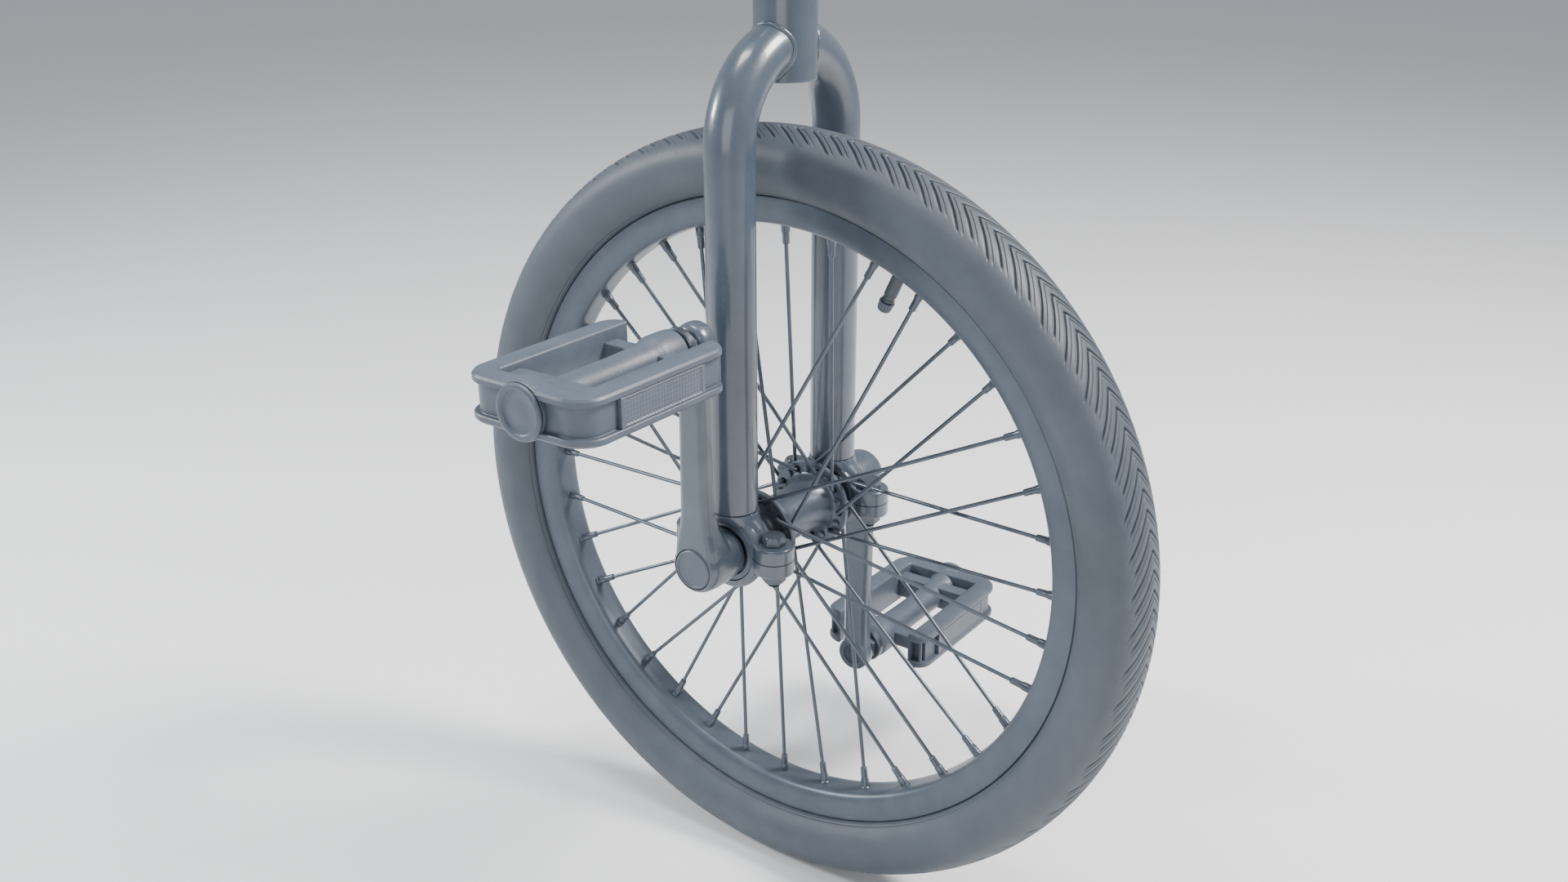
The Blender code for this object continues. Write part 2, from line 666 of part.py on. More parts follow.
def seat_clamp():
    """A split collar with two ears behind the seat tube, drawn together by a skewer, a nut and a cam lever."""
    centre = HUB_CENTRE + Vector((0, 0, COLLAR_MIDDLE))
    half = COLLAR_HEIGHT / 2
    bore = SEAT_TUBE_RADIUS + GAP
    section = [(bore, half), (bore, -half), (COLLAR_RADIUS, -half), (COLLAR_RADIUS, half)]
    collar = piece("seat_clamp_collar", turned_ring(section), "alloy", centre)
    ear = COLLAR_EAR_WIDTH
    ears = box((-SKEWER_OFFSET - 6.5 * MM, -ear, -half + 1 * MM), (-20.5 * MM, ear, half - 1 * MM))
    fuse(collar, ears)
    cut(collar, box((-50 * MM, -1.25 * MM, -20 * MM), (-10 * MM, 1.25 * MM, 20 * MM)))
    along_y = Matrix.Rotation(math.pi / 2, 4, "X")
    hole = turned([(SKEWER_RADIUS + 2 * GAP, -20 * MM), (SKEWER_RADIUS + 2 * GAP, 20 * MM)], 12)
    cut(collar, moved(hole, Vector((-SKEWER_OFFSET, 0, 0)), along_y))

    skewer_place = centre + Vector((-SKEWER_OFFSET, 0, 0))
    rod = moved(turned([(SKEWER_RADIUS, -20 * MM), (SKEWER_RADIUS, LEVER_PIVOT - 2 * MM)], 12), Vector(), along_y)
    skewer = piece("seat_clamp_skewer", rod, "steel", skewer_place)
    pivot = Vector((0, -LEVER_PIVOT, 0))
    fuse(skewer, moved(turned([(4.2 * MM, -2.4 * MM), (4.2 * MM, 2.4 * MM)], 12), pivot))
    pin_hole = 2.0 * MM + GAP
    cut(skewer, moved(turned([(pin_hole, -5 * MM), (pin_hole, 5 * MM)], 12), pivot))
    nut = moved(hex_nut(SKEWER_RADIUS + 2 * GAP, 7.0 * MM, 7.0 * MM), Vector(), along_y)
    piece("seat_clamp_nut", nut, "steel", skewer_place + Vector((0, ear + GAP, 0)))
    seat_lever(skewer_place + pivot, pin_hole)


def seat_lever(pivot, pin_hole):
    """The cam lever and the pin that it turns on. It lies forward along the collar when it is shut."""
    pin = turned([(2.0 * MM, -6.5 * MM), (2.0 * MM, 6.5 * MM)], 12)
    piece("seat_clamp_pin", pin, "steel", pivot)
    barrel = turned([(LEVER_BARREL_RADIUS, -6.5 * MM), (LEVER_BARREL_RADIUS, 6.5 * MM)], 16)
    lever = piece("seat_clamp_lever", barrel, "dark_steel", pivot)
    middle = [(2 * MM, -4.5 * MM), (14 * MM, -9 * MM), (32 * MM, -11.5 * MM), (52 * MM, -10.5 * MM)]
    thickness = 2.0 * MM
    outline = [(x, y - thickness) for x, y in middle] + [(x, y + thickness) for x, y in reversed(middle)]
    fuse(lever, prism(outline, -5.5 * MM, 5.5 * MM))
    cut(lever, turned([(LEVER_BARREL_RADIUS + 0.4 * MM, -2.9 * MM), (LEVER_BARREL_RADIUS + 0.4 * MM, 2.9 * MM)], 16))
    cut(lever, turned([(pin_hole, -9 * MM), (pin_hole, 9 * MM)], 12))


def seat_post():
    """A tube with a flat plate welded across its top, drilled for the two saddle bolts."""
    section = [
        (POST_RADIUS, POST_TOP + PLATE_THICKNESS / 2),
        (POST_RADIUS, POST_BOTTOM),
        (POST_BORE, POST_BOTTOM),
        (POST_BORE, POST_TOP + PLATE_THICKNESS / 2),
    ]
    post = piece("seat_post", turned_ring(section), "steel", HUB_CENTRE)
    corner = 8 * MM
    length = PLATE_HALF_LENGTH - corner
    width = PLATE_HALF_WIDTH - corner
    outline = []
    for i, (x, y) in enumerate(((length, width), (-length, width), (-length, -width), (length, -width))):
        outline += arc(corner, i * math.pi / 2, (i + 1) * math.pi / 2, 3, (x, y))
    fuse(post, prism(outline, POST_TOP, POST_TOP + PLATE_THICKNESS))
    holes = []
    for end in (-1, 1):
        hole = turned([(3.4 * MM, POST_TOP - 5 * MM), (3.4 * MM, POST_TOP + 9 * MM)], 12)
        holes.append(moved(hole, Vector((end * SADDLE_BOLT_OFFSET, 0, 0))))
    cut(post, gathered(holes))


# --- Saddle --------------------------------------------------------------------------------------------


def saddle_half_width(x):
    """Half the saddle's width at x: a narrow waist, a wider front and a widest rear, with rounded ends."""
    end = SADDLE_FRONT_HALF_WIDTH if x > 0 else SADDLE_REAR_HALF_WIDTH
    share = abs(x) / SADDLE_HALF_LENGTH
    body = SADDLE_WAIST + (end - SADDLE_WAIST) * min(1, share * 1.25) ** 2
    rounding = max(0, (share - 0.68) / 0.34)
    return body * math.sqrt(1 - rounding**2)


def saddle_rise(x):
    beyond = max(0, abs(x) - SADDLE_FLAT_HALF_LENGTH) / (SADDLE_HALF_LENGTH - SADDLE_FLAT_HALF_LENGTH)
    return SADDLE_END_RISE * beyond**2


def saddle_thickness(x):
    share = (x / SADDLE_HALF_LENGTH) ** 2
    return SADDLE_PADDING + (SADDLE_END_PADDING - SADDLE_PADDING) * share


def saddle_loft(inset, low, top_inset=None, rounding=0.62):
    """A saddle-shaped solid, this far inside the saddle's outline, from low up to the padding's top.

    Without top_inset it is a flat-topped shell of the base's own thickness.
    """
    rings = []
    steps = 14
    for i in range(steps + 1):
        share = math.sin((i / steps - 0.5) * math.pi)
        x = share * SADDLE_HALF_LENGTH
        half = saddle_half_width(x) - inset
        floor = SADDLE_BASE + saddle_rise(x) + low
        shortened = share * (SADDLE_HALF_LENGTH - inset)
        if top_inset is None:
            top = floor + SADDLE_BASE_THICKNESS - GAP
            section = [(-half, floor), (half, floor), (half, top), (-half, top)]
        else:
            top = SADDLE_BASE + saddle_rise(x) + saddle_thickness(x) - top_inset
            skirt = SADDLE_BASE + saddle_rise(x) - SADDLE_BASE_THICKNESS
            section = [(-half, floor), (half, floor)]
            for k in range(9):
                angle = math.pi * k / 8
                reach = math.copysign(abs(math.cos(angle)) ** rounding, math.cos(angle))
                lift = 0.25 + 0.75 * math.sin(angle) ** rounding
                section.append((half * reach, skirt + (top - skirt) * lift))
        rings.append([(shortened, y, z) for y, z in section])
    return loft(rings)


def saddle():
    middle = Vector((0, 0, 0))
    base = piece("saddle_base", saddle_loft(COVER_THICKNESS + GAP, -SADDLE_BASE_THICKNESS), "black_plastic", middle)
    holes = []
    for end in (-1, 1):
        hole = turned([(3.4 * MM, -9 * MM), (3.4 * MM, 9 * MM)], 12)
        holes.append(moved(hole, Vector((end * SADDLE_BOLT_OFFSET, 0, SADDLE_BASE))))
    cut(base, gathered(holes))
    piece("saddle_foam", saddle_loft(COVER_THICKNESS + 3 * GAP, 0, COVER_THICKNESS + 3 * GAP), "foam", middle)
    cover = piece("saddle_cover", saddle_loft(0, -SADDLE_BASE_THICKNESS, 0), "vinyl", middle)
    cut(cover, saddle_loft(COVER_THICKNESS, -SADDLE_BASE_THICKNESS - 6 * MM, COVER_THICKNESS))
    for end, name in ((1, "front"), (-1, "rear")):
        saddle_bumper(end, name)
        head = Vector((end * SADDLE_BOLT_OFFSET, 0, WHEEL_RADIUS + POST_TOP - GAP))
        upside_down = (math.pi, 0, 0)
        bolt = hex_bolt(PLATE_THICKNESS + 4 * MM, 3.0 * MM, 5.8 * MM, 4.0 * MM)
        piece(f"saddle_bolt_{name}", bolt, "steel", head, upside_down)


def saddle_bumper(end, name):
    """A plastic strip under the cover's edge, round one end of the saddle."""
    rings = []
    steps = 14
    depth = 7 * MM
    height = 13 * MM
    for i in range(steps + 1):
        share = i / steps * 2 - 1
        reach = 0.76 + 0.24 * math.cos(share * math.pi / 2) ** 0.7
        x = end * reach * (SADDLE_HALF_LENGTH - 2 * MM)
        side = math.copysign(1, share) if share else 0
        y = side * (saddle_half_width(x) - 2 * MM)
        if abs(share) < 1 / steps:
            y = 0
        inner = 1 - depth / math.hypot(x, y)
        under_cover = SADDLE_BASE - SADDLE_BASE_THICKNESS - 1.5 * MM
        top = under_cover + saddle_rise(x)
        inner_top = under_cover + saddle_rise(x * inner)
        ring = [(x, y, top), (x * inner, y * inner, inner_top)]
        ring += [(x * inner, y * inner, inner_top - height), (x, y, top - height)]
        rings.append(ring)
    piece(f"saddle_bumper_{name}", loft(rings), "black_plastic")


# --- Cranks and pedals ---------------------------------------------------------------------------------


def crank_outline():
    """The arm seen along the axle: a boss, a tapering neck and an eye for the pedal."""
    root = math.asin(CRANK_ROOT_HALF_WIDTH / CRANK_BOSS_RADIUS)
    neck = math.asin(CRANK_NECK_HALF_WIDTH / CRANK_EYE_RADIUS)
    up = math.pi / 2
    boss = arc(CRANK_BOSS_RADIUS, up + root, up - root + 2 * math.pi, 16)
    eye = arc(CRANK_EYE_RADIUS, up - (math.pi - neck), up + (math.pi - neck), 12, (0, CRANK_LENGTH))
    return boss + eye


def crank(side):
    """A crank pushed on the axle's square taper, with its bolt and the dust cap over it."""
    word = SIDE_NAMES[side]
    inner, outer = CRANK_FACES
    made = piece(f"crank_{word}", prism(crank_outline(), inner, outer), "paint", HUB_CENTRE, outward(side))
    boss = [
        (CRANK_BOSS_RADIUS - 1 * MM, CRANK_BOSS_INNER),
        (CRANK_BOSS_RADIUS + 1 * MM, CRANK_BOSS_INNER + 6 * MM),
        (CRANK_BOSS_RADIUS, CRANK_BOSS_OUTER - 1.6 * MM),
        (CRANK_BOSS_RADIUS - 2.4 * MM, CRANK_BOSS_OUTER + 1.4 * MM),
    ]
    fuse(made, turned(boss))
    taper = [
        square(TAPER_ROOT + 2 * GAP, ROUND_SEGMENTS, CRANK_BOSS_INNER - 5 * MM),
        square(TAPER_TIP + 2 * GAP, ROUND_SEGMENTS, AXLE_HALF_LENGTH + 5 * MM),
    ]
    cut(made, loft(taper))
    top = CRANK_BOSS_OUTER + 5 * MM
    cut(made, turned([(CRANK_RECESS_RADIUS, CRANK_RECESS_FLOOR), (CRANK_RECESS_RADIUS, top)]))
    thread = 7.0 * MM + GAP
    eye_hole = turned([(thread, inner - 5 * MM), (thread, outer + 5 * MM)], 16)
    cut(made, moved(eye_hole, Vector((0, CRANK_LENGTH, 0))))

    bolt = moved(hex_bolt(18 * MM, 3.8 * MM, 7.5 * MM, 3.6 * MM), Vector((0, 0, CRANK_RECESS_FLOOR + GAP)))
    piece(f"crank_bolt_{word}", bolt, "steel", HUB_CENTRE, outward(side))
    rim_radius = CRANK_RECESS_RADIUS - GAP
    cap = [
        (rim_radius, CRANK_BOSS_OUTER - 3.6 * MM),
        (rim_radius, CRANK_BOSS_OUTER + 0.4 * MM),
        (rim_radius - 2 * MM, CRANK_BOSS_OUTER + 1.2 * MM),
    ]
    piece(f"crank_dust_cap_{word}", turned(cap), "plastic", HUB_CENTRE, outward(side))


def pedal_axis(side):
    """A point on the pedal's axis at the wheel's middle plane: up on the right and down on the left."""
    return HUB_CENTRE + Vector((0, 0, -side * CRANK_LENGTH))


def spindle(side):
    """The pedal's axle: thread in the crank's eye, hex collar, shaft and retaining nut at its end."""
    collar_start = CRANK_FACES[1] + GAP
    collar_end = PEDAL_BOSS_INNER - 0.6 * MM
    count = 12
    rings = [
        circle(7.0 * MM, count, CRANK_FACES[0] + 0.5 * MM),
        circle(7.0 * MM, count, collar_start),
        polygon(6, 9.6 * MM, count, collar_start),
        polygon(6, 9.6 * MM, count, collar_end),
        circle(SPINDLE_RADIUS, count, collar_end),
        circle(SPINDLE_RADIUS - 1 * MM, count, PEDAL_OUTER - 13 * MM),
        circle(SPINDLE_RADIUS - 1 * MM, count, PEDAL_OUTER - 10 * MM),
    ]
    piece(f"pedal_spindle_{SIDE_NAMES[side]}", loft(rings), "steel", pedal_axis(side), outward(side))


def pedal_frame_rings():
    """The rail's section, grooved on its outer side, carried round the U from one inner end to the other."""
    middle = PEDAL_HALF_WIDTH - PEDAL_FLANGE_WIDTH / 2
    outer = PEDAL_OUTER - PEDAL_FLANGE_WIDTH / 2
    bend = PEDAL_CORNER_RADIUS - PEDAL_FLANGE_WIDTH / 2
    route = [((middle, PEDAL_INNER), 0.0)]
    for quarter, corner_x in ((0, middle - bend), (1, bend - middle)):
        for step in range(5):
            angle = (quarter + step / 4) * math.pi / 2
            point = (corner_x + bend * math.cos(angle), outer - bend + bend * math.sin(angle))
            route.append((point, angle))
    route.append(((-middle, PEDAL_INNER), math.pi))
    flange = PEDAL_FLANGE_WIDTH / 2
    groove = flange - PEDAL_RECESS
    high = PEDAL_HALF_HEIGHT
    low = PEDAL_HALF_HEIGHT - PEDAL_FLANGE_HEIGHT
    section = [(flange, high), (flange, low), (groove, low), (groove, -low), (flange, -low), (flange, -high)]
    section += [(-flange, -high), (-flange, high)]
    rings = []
    for (x, z), angle in route:
        rings.append([(x + across * math.cos(angle), up, z + across * math.sin(angle)) for across, up in section])
    return rings


def pedal(side):
    """A moulded cage with a barrel for the spindle, an end cap, and a reflector in each of its long sides."""
    word = SIDE_NAMES[side]
    centre = pedal_axis(side)
    facing = outward(side)
    body = piece(f"pedal_body_{word}", loft(pedal_frame_rings()), "plastic", centre, facing)
    barrel = [
        (11.0 * MM, PEDAL_BOSS_INNER),
        (13.0 * MM, PEDAL_BOSS_INNER + 3 * MM),
        (13.0 * MM, PEDAL_BOSS_INNER + 19 * MM),
        (10.4 * MM, PEDAL_BOSS_INNER + 26 * MM),
        (9.8 * MM, PEDAL_OUTER - 30 * MM),
        (13.0 * MM, PEDAL_OUTER - 10 * MM),
        (PEDAL_CAP_RADIUS, PEDAL_OUTER - 7 * MM),
        (PEDAL_CAP_RADIUS, PEDAL_OUTER - 1.0 * MM),
    ]
    fuse(body, turned(barrel, 12))
    reach = PEDAL_HALF_WIDTH - PEDAL_FLANGE_WIDTH / 2
    ribs = []
    for start, thickness, height in (
        (PEDAL_INNER + 9 * MM, 11 * MM, 5.5 * MM),
        (PEDAL_OUTER - 32 * MM, 11 * MM, 9.0 * MM),
    ):
        ribs.append(box((-reach, -height, start), (reach, height, start + thickness)))
    fuse(body, gathered(ribs))
    bore = [
        (SPINDLE_BORE, PEDAL_BOSS_INNER - 5 * MM),
        (SPINDLE_BORE, PEDAL_OUTER - 12 * MM),
        (10.3 * MM, PEDAL_OUTER - 12 * MM),
        (10.3 * MM, PEDAL_OUTER - 2 * GAP),
        (PEDAL_CAP_RADIUS + GAP, PEDAL_OUTER - 2 * GAP),
        (PEDAL_CAP_RADIUS + GAP, PEDAL_OUTER + 5 * MM),
    ]
    cut(body, turned(bore, 12))
    cap = [
        (9.9 * MM, PEDAL_OUTER - 8 * MM),
        (9.9 * MM, PEDAL_OUTER - GAP),
        (PEDAL_CAP_RADIUS, PEDAL_OUTER - GAP),
        (PEDAL_CAP_RADIUS - 1.5 * MM, PEDAL_OUTER + 2 * MM),
        (11.5 * MM, PEDAL_OUTER + 2 * MM),
        (10.5 * MM, PEDAL_OUTER + 1 * MM),
    ]
    piece(f"pedal_end_cap_{word}", turned(cap, 12), "plastic", centre, facing)
    near_web = PEDAL_HALF_WIDTH - PEDAL_RECESS + GAP
    far = PEDAL_HALF_WIDTH - 0.2 * MM
    height = PEDAL_HALF_HEIGHT - PEDAL_FLANGE_HEIGHT - GAP
    for end, place_name in ((1, "front"), (-1, "rear")):
        low, high = sorted((end * near_web, end * far))
        lens = box((low, -height, REFLECTOR_SPAN[0]), (high, height, REFLECTOR_SPAN[1]))
        piece(f"reflector_{place_name}_{word}", lens, "lens", centre, facing)


def main():
    clear_scene()
    tyre()
    inner_tube()
    rim_tape()
    rim()
    valve()
    hub_shell()
    axle()
    seat_tube()
    seat_clamp()
    seat_post()
    saddle()
    for side in (RIGHT, LEFT):
        spokes(side)
        bearing(side)
        word = SIDE_NAMES[side]
        clamp_half(f"bearing_housing_{word}", side, 1, "paint")
        clamp_half(f"bearing_cap_{word}", side, -1, "paint")
        clamp_fasteners(side)
        fork_leg(side)
        crank(side)
        spindle(side)
        pedal(side)


main()
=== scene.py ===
"""The looks of a 20-inch unicycle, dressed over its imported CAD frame.

Lengths are in millimetres until a piece is finished, and the hub's centre is the origin for the wheel,
the frame, the cranks and the pedals. Every piece is then moved into the row frame, in metres.
"""

import logging
import math
from collections.abc import Callable
from collections.abc import Sequence
from dataclasses import dataclass
from enum import Enum
from functools import cache

import bmesh
import bpy
from mathutils import Matrix
from mathutils import Vector
from mathutils.bvhtree import BVHTree


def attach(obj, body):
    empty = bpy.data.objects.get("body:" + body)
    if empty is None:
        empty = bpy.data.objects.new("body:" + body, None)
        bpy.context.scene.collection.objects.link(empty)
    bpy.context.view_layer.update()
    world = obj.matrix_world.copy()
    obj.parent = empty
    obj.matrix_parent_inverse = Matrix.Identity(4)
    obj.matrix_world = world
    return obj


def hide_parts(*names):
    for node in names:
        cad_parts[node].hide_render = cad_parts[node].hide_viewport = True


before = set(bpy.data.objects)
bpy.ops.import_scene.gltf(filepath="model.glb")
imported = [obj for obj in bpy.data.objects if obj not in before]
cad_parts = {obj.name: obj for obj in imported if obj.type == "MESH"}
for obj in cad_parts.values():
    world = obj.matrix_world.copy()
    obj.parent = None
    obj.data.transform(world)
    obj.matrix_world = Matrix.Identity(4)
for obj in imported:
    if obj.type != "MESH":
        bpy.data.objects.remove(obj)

LOG = logging.getLogger("unicycle")
MM = 0.001
GAP = 0.3  # between pieces that touch on the real object
HUB_HEIGHT = 253.5
UP = Vector((0, 0, 1))
SHARP_EDGE = math.radians(32)

Profile = Sequence[tuple[float, float]]
Points = Sequence[Vector]
Colour = tuple[float, float, float]


class Side(Enum):
    """A side of the rider. Its value is the sign of Y."""

    RIGHT = -1
    LEFT = 1

    @property
    def word(self) -> str:
        """The side's name, as it ends the CAD nodes' names."""
        return self.name.lower()

    def outward(self) -> Matrix:
        """Local +Z outwards along the axle, and local +Y up on the right and down on the left."""
        return Matrix.Rotation(-self.value * math.pi / 2, 4, "X")


class Body(Enum):
    """The rigid bodies that pieces ride on."""

    FRAME = "frame"
    WHEEL = "wheel"
    CAGE_RIGHT = "bearing_cage_right"
    CAGE_LEFT = "bearing_cage_left"
    PEDAL_RIGHT = "pedal_right"
    PEDAL_LEFT = "pedal_left"
    SEAT = "seat"
    LEVER = "clamp_lever"


# --- Shader maths --------------------------------------------------------------------------------------


@dataclass(frozen=True)
class Value:
    """A shader socket that takes part in arithmetic."""

    shader: "Shader"
    socket: bpy.types.NodeSocket

    def __add__(self, other: "Value | float") -> "Value":
        """self + other."""
        return self.shader.maths("ADD", self, other)

    __radd__ = __add__

    def __sub__(self, other: "Value | float") -> "Value":
        """self - other."""
        return self.shader.maths("SUBTRACT", self, other)

    def __rsub__(self, other: "Value | float") -> "Value":
        """other - self."""
        return self.shader.maths("SUBTRACT", other, self)

    def __mul__(self, other: "Value | float") -> "Value":
        """self * other."""
        return self.shader.maths("MULTIPLY", self, other)

    __rmul__ = __mul__

    def __pow__(self, other: "Value | float") -> "Value":
        """self to the power of other."""
        return self.shader.maths("POWER", self, other)

    def between(self, low: float, high: float) -> "Value":
        """0 below low and 1 above high, with an even slope between them."""
        share = (self - low) * (1 / (high - low))
        return self.shader.maths("MINIMUM", self.shader.maths("MAXIMUM", share, 0.0), 1.0)


class Shader:
    """The node tree of one material, which ends in its Principled surface."""

    def __init__(self, name: str, **constants: object) -> None:
        """Makes the material.

        Args:
            name: The material's name.
            constants: Values of the surface's sockets that are the same all over, with _ for each space.
        """
        self.material = bpy.data.materials.new(name)
        self.material.use_nodes = True
        self.tree = self.material.node_tree
        self.surface = self.tree.nodes["Principled BSDF"]
        for socket, value in constants.items():
            self.surface.inputs[socket.replace("_", " ").title()].default_value = value

    def node(self, kind: str, settings: dict, inputs: dict, output: str | int = 0) -> Value:
        """Adds a node.

        Args:
            kind: The node's type.
            settings: Its properties, set before its sockets.
            inputs: A value or a link for each socket, by its name or place.
            output: The socket that the node is wanted for.

        Returns:
            That output.
        """
        made = self.tree.nodes.new(kind)
        for name, value in settings.items():
            setattr(made, name, value)
        for name, value in inputs.items():
            if isinstance(value, Value):
                self.tree.links.new(value.socket, made.inputs[name])
            else:
                made.inputs[name].default_value = value
        return Value(self, made.outputs[output])

    def maths(self, operation: str, first: Value | float, second: Value | float = 0.0) -> Value:
        """One Math node on two numbers."""
        return self.node("ShaderNodeMath", {"operation": operation}, {0: first, 1: second})

    def feed(self, socket: str, value: Value) -> None:
        """Links a value to one of the surface's sockets."""
        self.tree.links.new(value.socket, self.surface.inputs[socket])

    def place(self) -> Value:
        """Where a point lies on the object at rest, in metres."""
        return self.node("ShaderNodeTexCoord", {}, {}, "Object")

    def scaled(self, vector: Value, scale: tuple[float, float, float]) -> Value:
        """A vector with each of its parts multiplied."""
        return self.node("ShaderNodeVectorMath", {"operation": "MULTIPLY"}, {0: vector, 1: scale})

    def about_axle(self, centre_height: float) -> tuple[Value, Value, Value]:
        """The radius, the turn in radians and the distance along the axle of a point.

        Args:
            centre_height: The axle's height, in metres.

        Returns:
            The three values.
        """
        place = self.place()
        x = self.node("ShaderNodeSeparateXYZ", {}, {0: place}, 0)
        along = self.node("ShaderNodeSeparateXYZ", {}, {0: place}, 1)
        z = self.node("ShaderNodeSeparateXYZ", {}, {0: place}, 2) - centre_height
        radius = (x * x + z * z) ** 0.5
        return radius, self.maths("ARCTAN2", z, x), along

    def vector(self, x: Value | float, y: Value | float, z: Value | float) -> Value:
        """A vector from three numbers."""
        return self.node("ShaderNodeCombineXYZ", {}, {0: x, 1: y, 2: z})

    def noise(self, vector: Value, scale: float, detail: float = 3.0, roughness: float = 0.55) -> Value:
        """Soft noise from 0 to 1, with scale features in a metre."""
        inputs = {"Vector": vector, "Scale": scale, "Detail": detail, "Roughness": roughness}
        return self.node("ShaderNodeTexNoise", {}, inputs)

    def cells(self, vector: Value, scale: float, feature: str = "F1") -> Value:
        """The distance inside a pattern of cells, with scale cells in a metre."""
        return self.node("ShaderNodeTexVoronoi", {"feature": feature}, {"Vector": vector, "Scale": scale})

    def mixed(self, share: Value | float, first: Value | Colour, second: Value | Colour) -> Value:
        """A colour between two others."""
        ends = [c if isinstance(c, Value) else (*c, 1.0) for c in (first, second)]
        return self.node("ShaderNodeMix", {"data_type": "RGBA"}, {0: share, 6: ends[0], 7: ends[1]}, 2)

    def bumped(self, height: Value, distance: float, strength: float = 1.0) -> None:
        """Raises the surface by height times distance, in metres."""
        inputs = {"Strength": strength, "Distance": distance, "Height": height}
        self.feed("Normal", self.node("ShaderNodeBump", {}, inputs))


# --- Finishes ------------------------------------------------------------------------------------------


@dataclass(frozen=True)
class Finish:
    """A surface that pieces share. Its colours run from its darker tone to its worn spots; on vinyl the darker tone is
    also painted shade in the creases of the grain.
    """

    name: str
    slot: str
    deep: Colour
    light: Colour
    roughness: tuple[float, float] = (0.4, 0.6)
    metallic: float = 0.0
    coat: float = 0.0
    mottle: float = 60.0

    @cache
    def material(self) -> bpy.types.Material:
        """The material, made once.

        Returns:
            The material.
        """
        shader = Shader(self.name, metallic=self.metallic, coat_weight=self.coat, coat_roughness=0.12)
        self.dress(shader)
        return shader.material

    def dress(self, shader: Shader) -> None:
        """Adds the colour, the roughness and the relief. A kind of finish adds its own grain.

        Args:
            shader: The material's nodes.
        """
        place = shader.place()
        # The share mixes the two colours; on vinyl it holds painted shade in the creases of the grain.
        wear = self.wear(shader, place)
        shader.feed("Base Color", shader.mixed(wear, self.deep, self.light))
        low, high = self.roughness
        shader.feed("Roughness", shader.noise(place, 4 * self.mottle, 4) * (high - low) + low)
        self.relief(shader, place)

    def wear(self, shader: Shader, place: Value) -> Value:
        """How far each point is towards the light colour.

        Args:
            shader: The material's nodes.
            place: Where the point lies on the object, in metres.

        Returns:
            A share from 0, dark, to 1, light.
        """
        broad = shader.noise(place, self.mottle, 5)
        fine = shader.noise(place, 14 * self.mottle, 2)
        return (broad * 0.75 + fine * 0.25).between(0.3, 0.72)

    def relief(self, shader: Shader, place: Value) -> None:
        """The fine relief of the surface."""
        shader.bumped(shader.noise(place, 900, 2), 0.00002)


@dataclass(frozen=True)
class Paint(Finish):
    """Sprayed gloss paint: a slight ripple under a clear coat, with specks of dust."""

    def relief(self, shader: Shader, place: Value) -> None:
        """Ripple, and hairline scuffs that run along the tubes.

        Args:
            shader: The material's nodes.
            place: Where the point lies on the object, in metres.
        """
        ripple = shader.noise(place, 420, 2)
        scuffs = shader.noise(shader.scaled(place, (1.0, 1.0, 0.06)), 900, 2).between(0.66, 0.76)
        shader.bumped(ripple - scuffs * 0.35, 0.00005, 0.7)


@dataclass(frozen=True)
class Rubber(Finish):
    """Moulded tyre rubber, greyer where dust lies in the tread."""

    tread_radius: float = 0.2525
    groove_radius: float = 0.2512

    def wear(self, shader: Shader, place: Value) -> Value:
        """Dust in the grooves, and faint bands round the sidewalls.

        Args:
            shader: The material's nodes.
            place: Where the point lies on the object, in metres.

        Returns:
            A share from 0, dark, to 1, light.
        """
        radius, turn, along = shader.about_axle(HUB_HEIGHT * MM)
        bands = shader.noise(shader.vector(radius * 900, turn * 3, along * 500), 1.0, 3)
        groove = 1 - radius.between(self.groove_radius, self.tread_radius)
        crown = radius.between(0.243, 0.250)
        dust = groove * crown * shader.noise(place, 90, 4).between(0.25, 0.7)
        return super().wear(shader, place) * 0.55 + bands * 0.25 + dust * 0.35

    def relief(self, shader: Shader, place: Value) -> None:
        """A fine moulded grain."""
        grain = shader.noise(place, 1500, 3) + shader.cells(place, 700) * 0.4
        shader.bumped(grain, 0.00008, 0.8)


@dataclass(frozen=True)
class Turned(Finish):
    """Metal turned or brushed round the axle, with its marks along the circles."""

    def relief(self, shader: Shader, place: Value) -> None:
        """Close rings round the axle.

        Args:
            shader: The material's nodes.
            place: Where the point lies on the object, in metres.
        """
        radius, turn, along = shader.about_axle(HUB_HEIGHT * MM)
        rings = shader.noise(shader.vector(radius * 3000, turn * 6, along * 3000), 1.0, 3)
        shader.bumped(rings, 0.00003, 0.8)


@dataclass(frozen=True)
class Drawn(Finish):
    """Drawn, plated or ground steel, with faint marks of the die."""

    def relief(self, shader: Shader, place: Value) -> None:
        """Specks and short scratches.

        Args:
            shader: The material's nodes.
            place: Where the point lies on the object, in metres.
        """
        specks = shader.noise(place, 1400, 4)
        scratches = shader.noise(shader.scaled(place, (1.0, 1.0, 0.1)), 700, 2).between(0.6, 0.7)
        shader.bumped(specks * 0.5 - scratches * 0.5, 0.00004, 0.7)


@dataclass(frozen=True)
class Moulded(Finish):
    """Moulded plastic with a spark-eroded grain."""

    grain: float = 850.0

    def relief(self, shader: Shader, place: Value) -> None:
        """Round pits, close together."""
        pits = shader.cells(place, self.grain) * 0.6 + shader.noise(place, 2 * self.grain, 2) * 0.6
        shader.bumped(pits, 0.00012, 0.7)


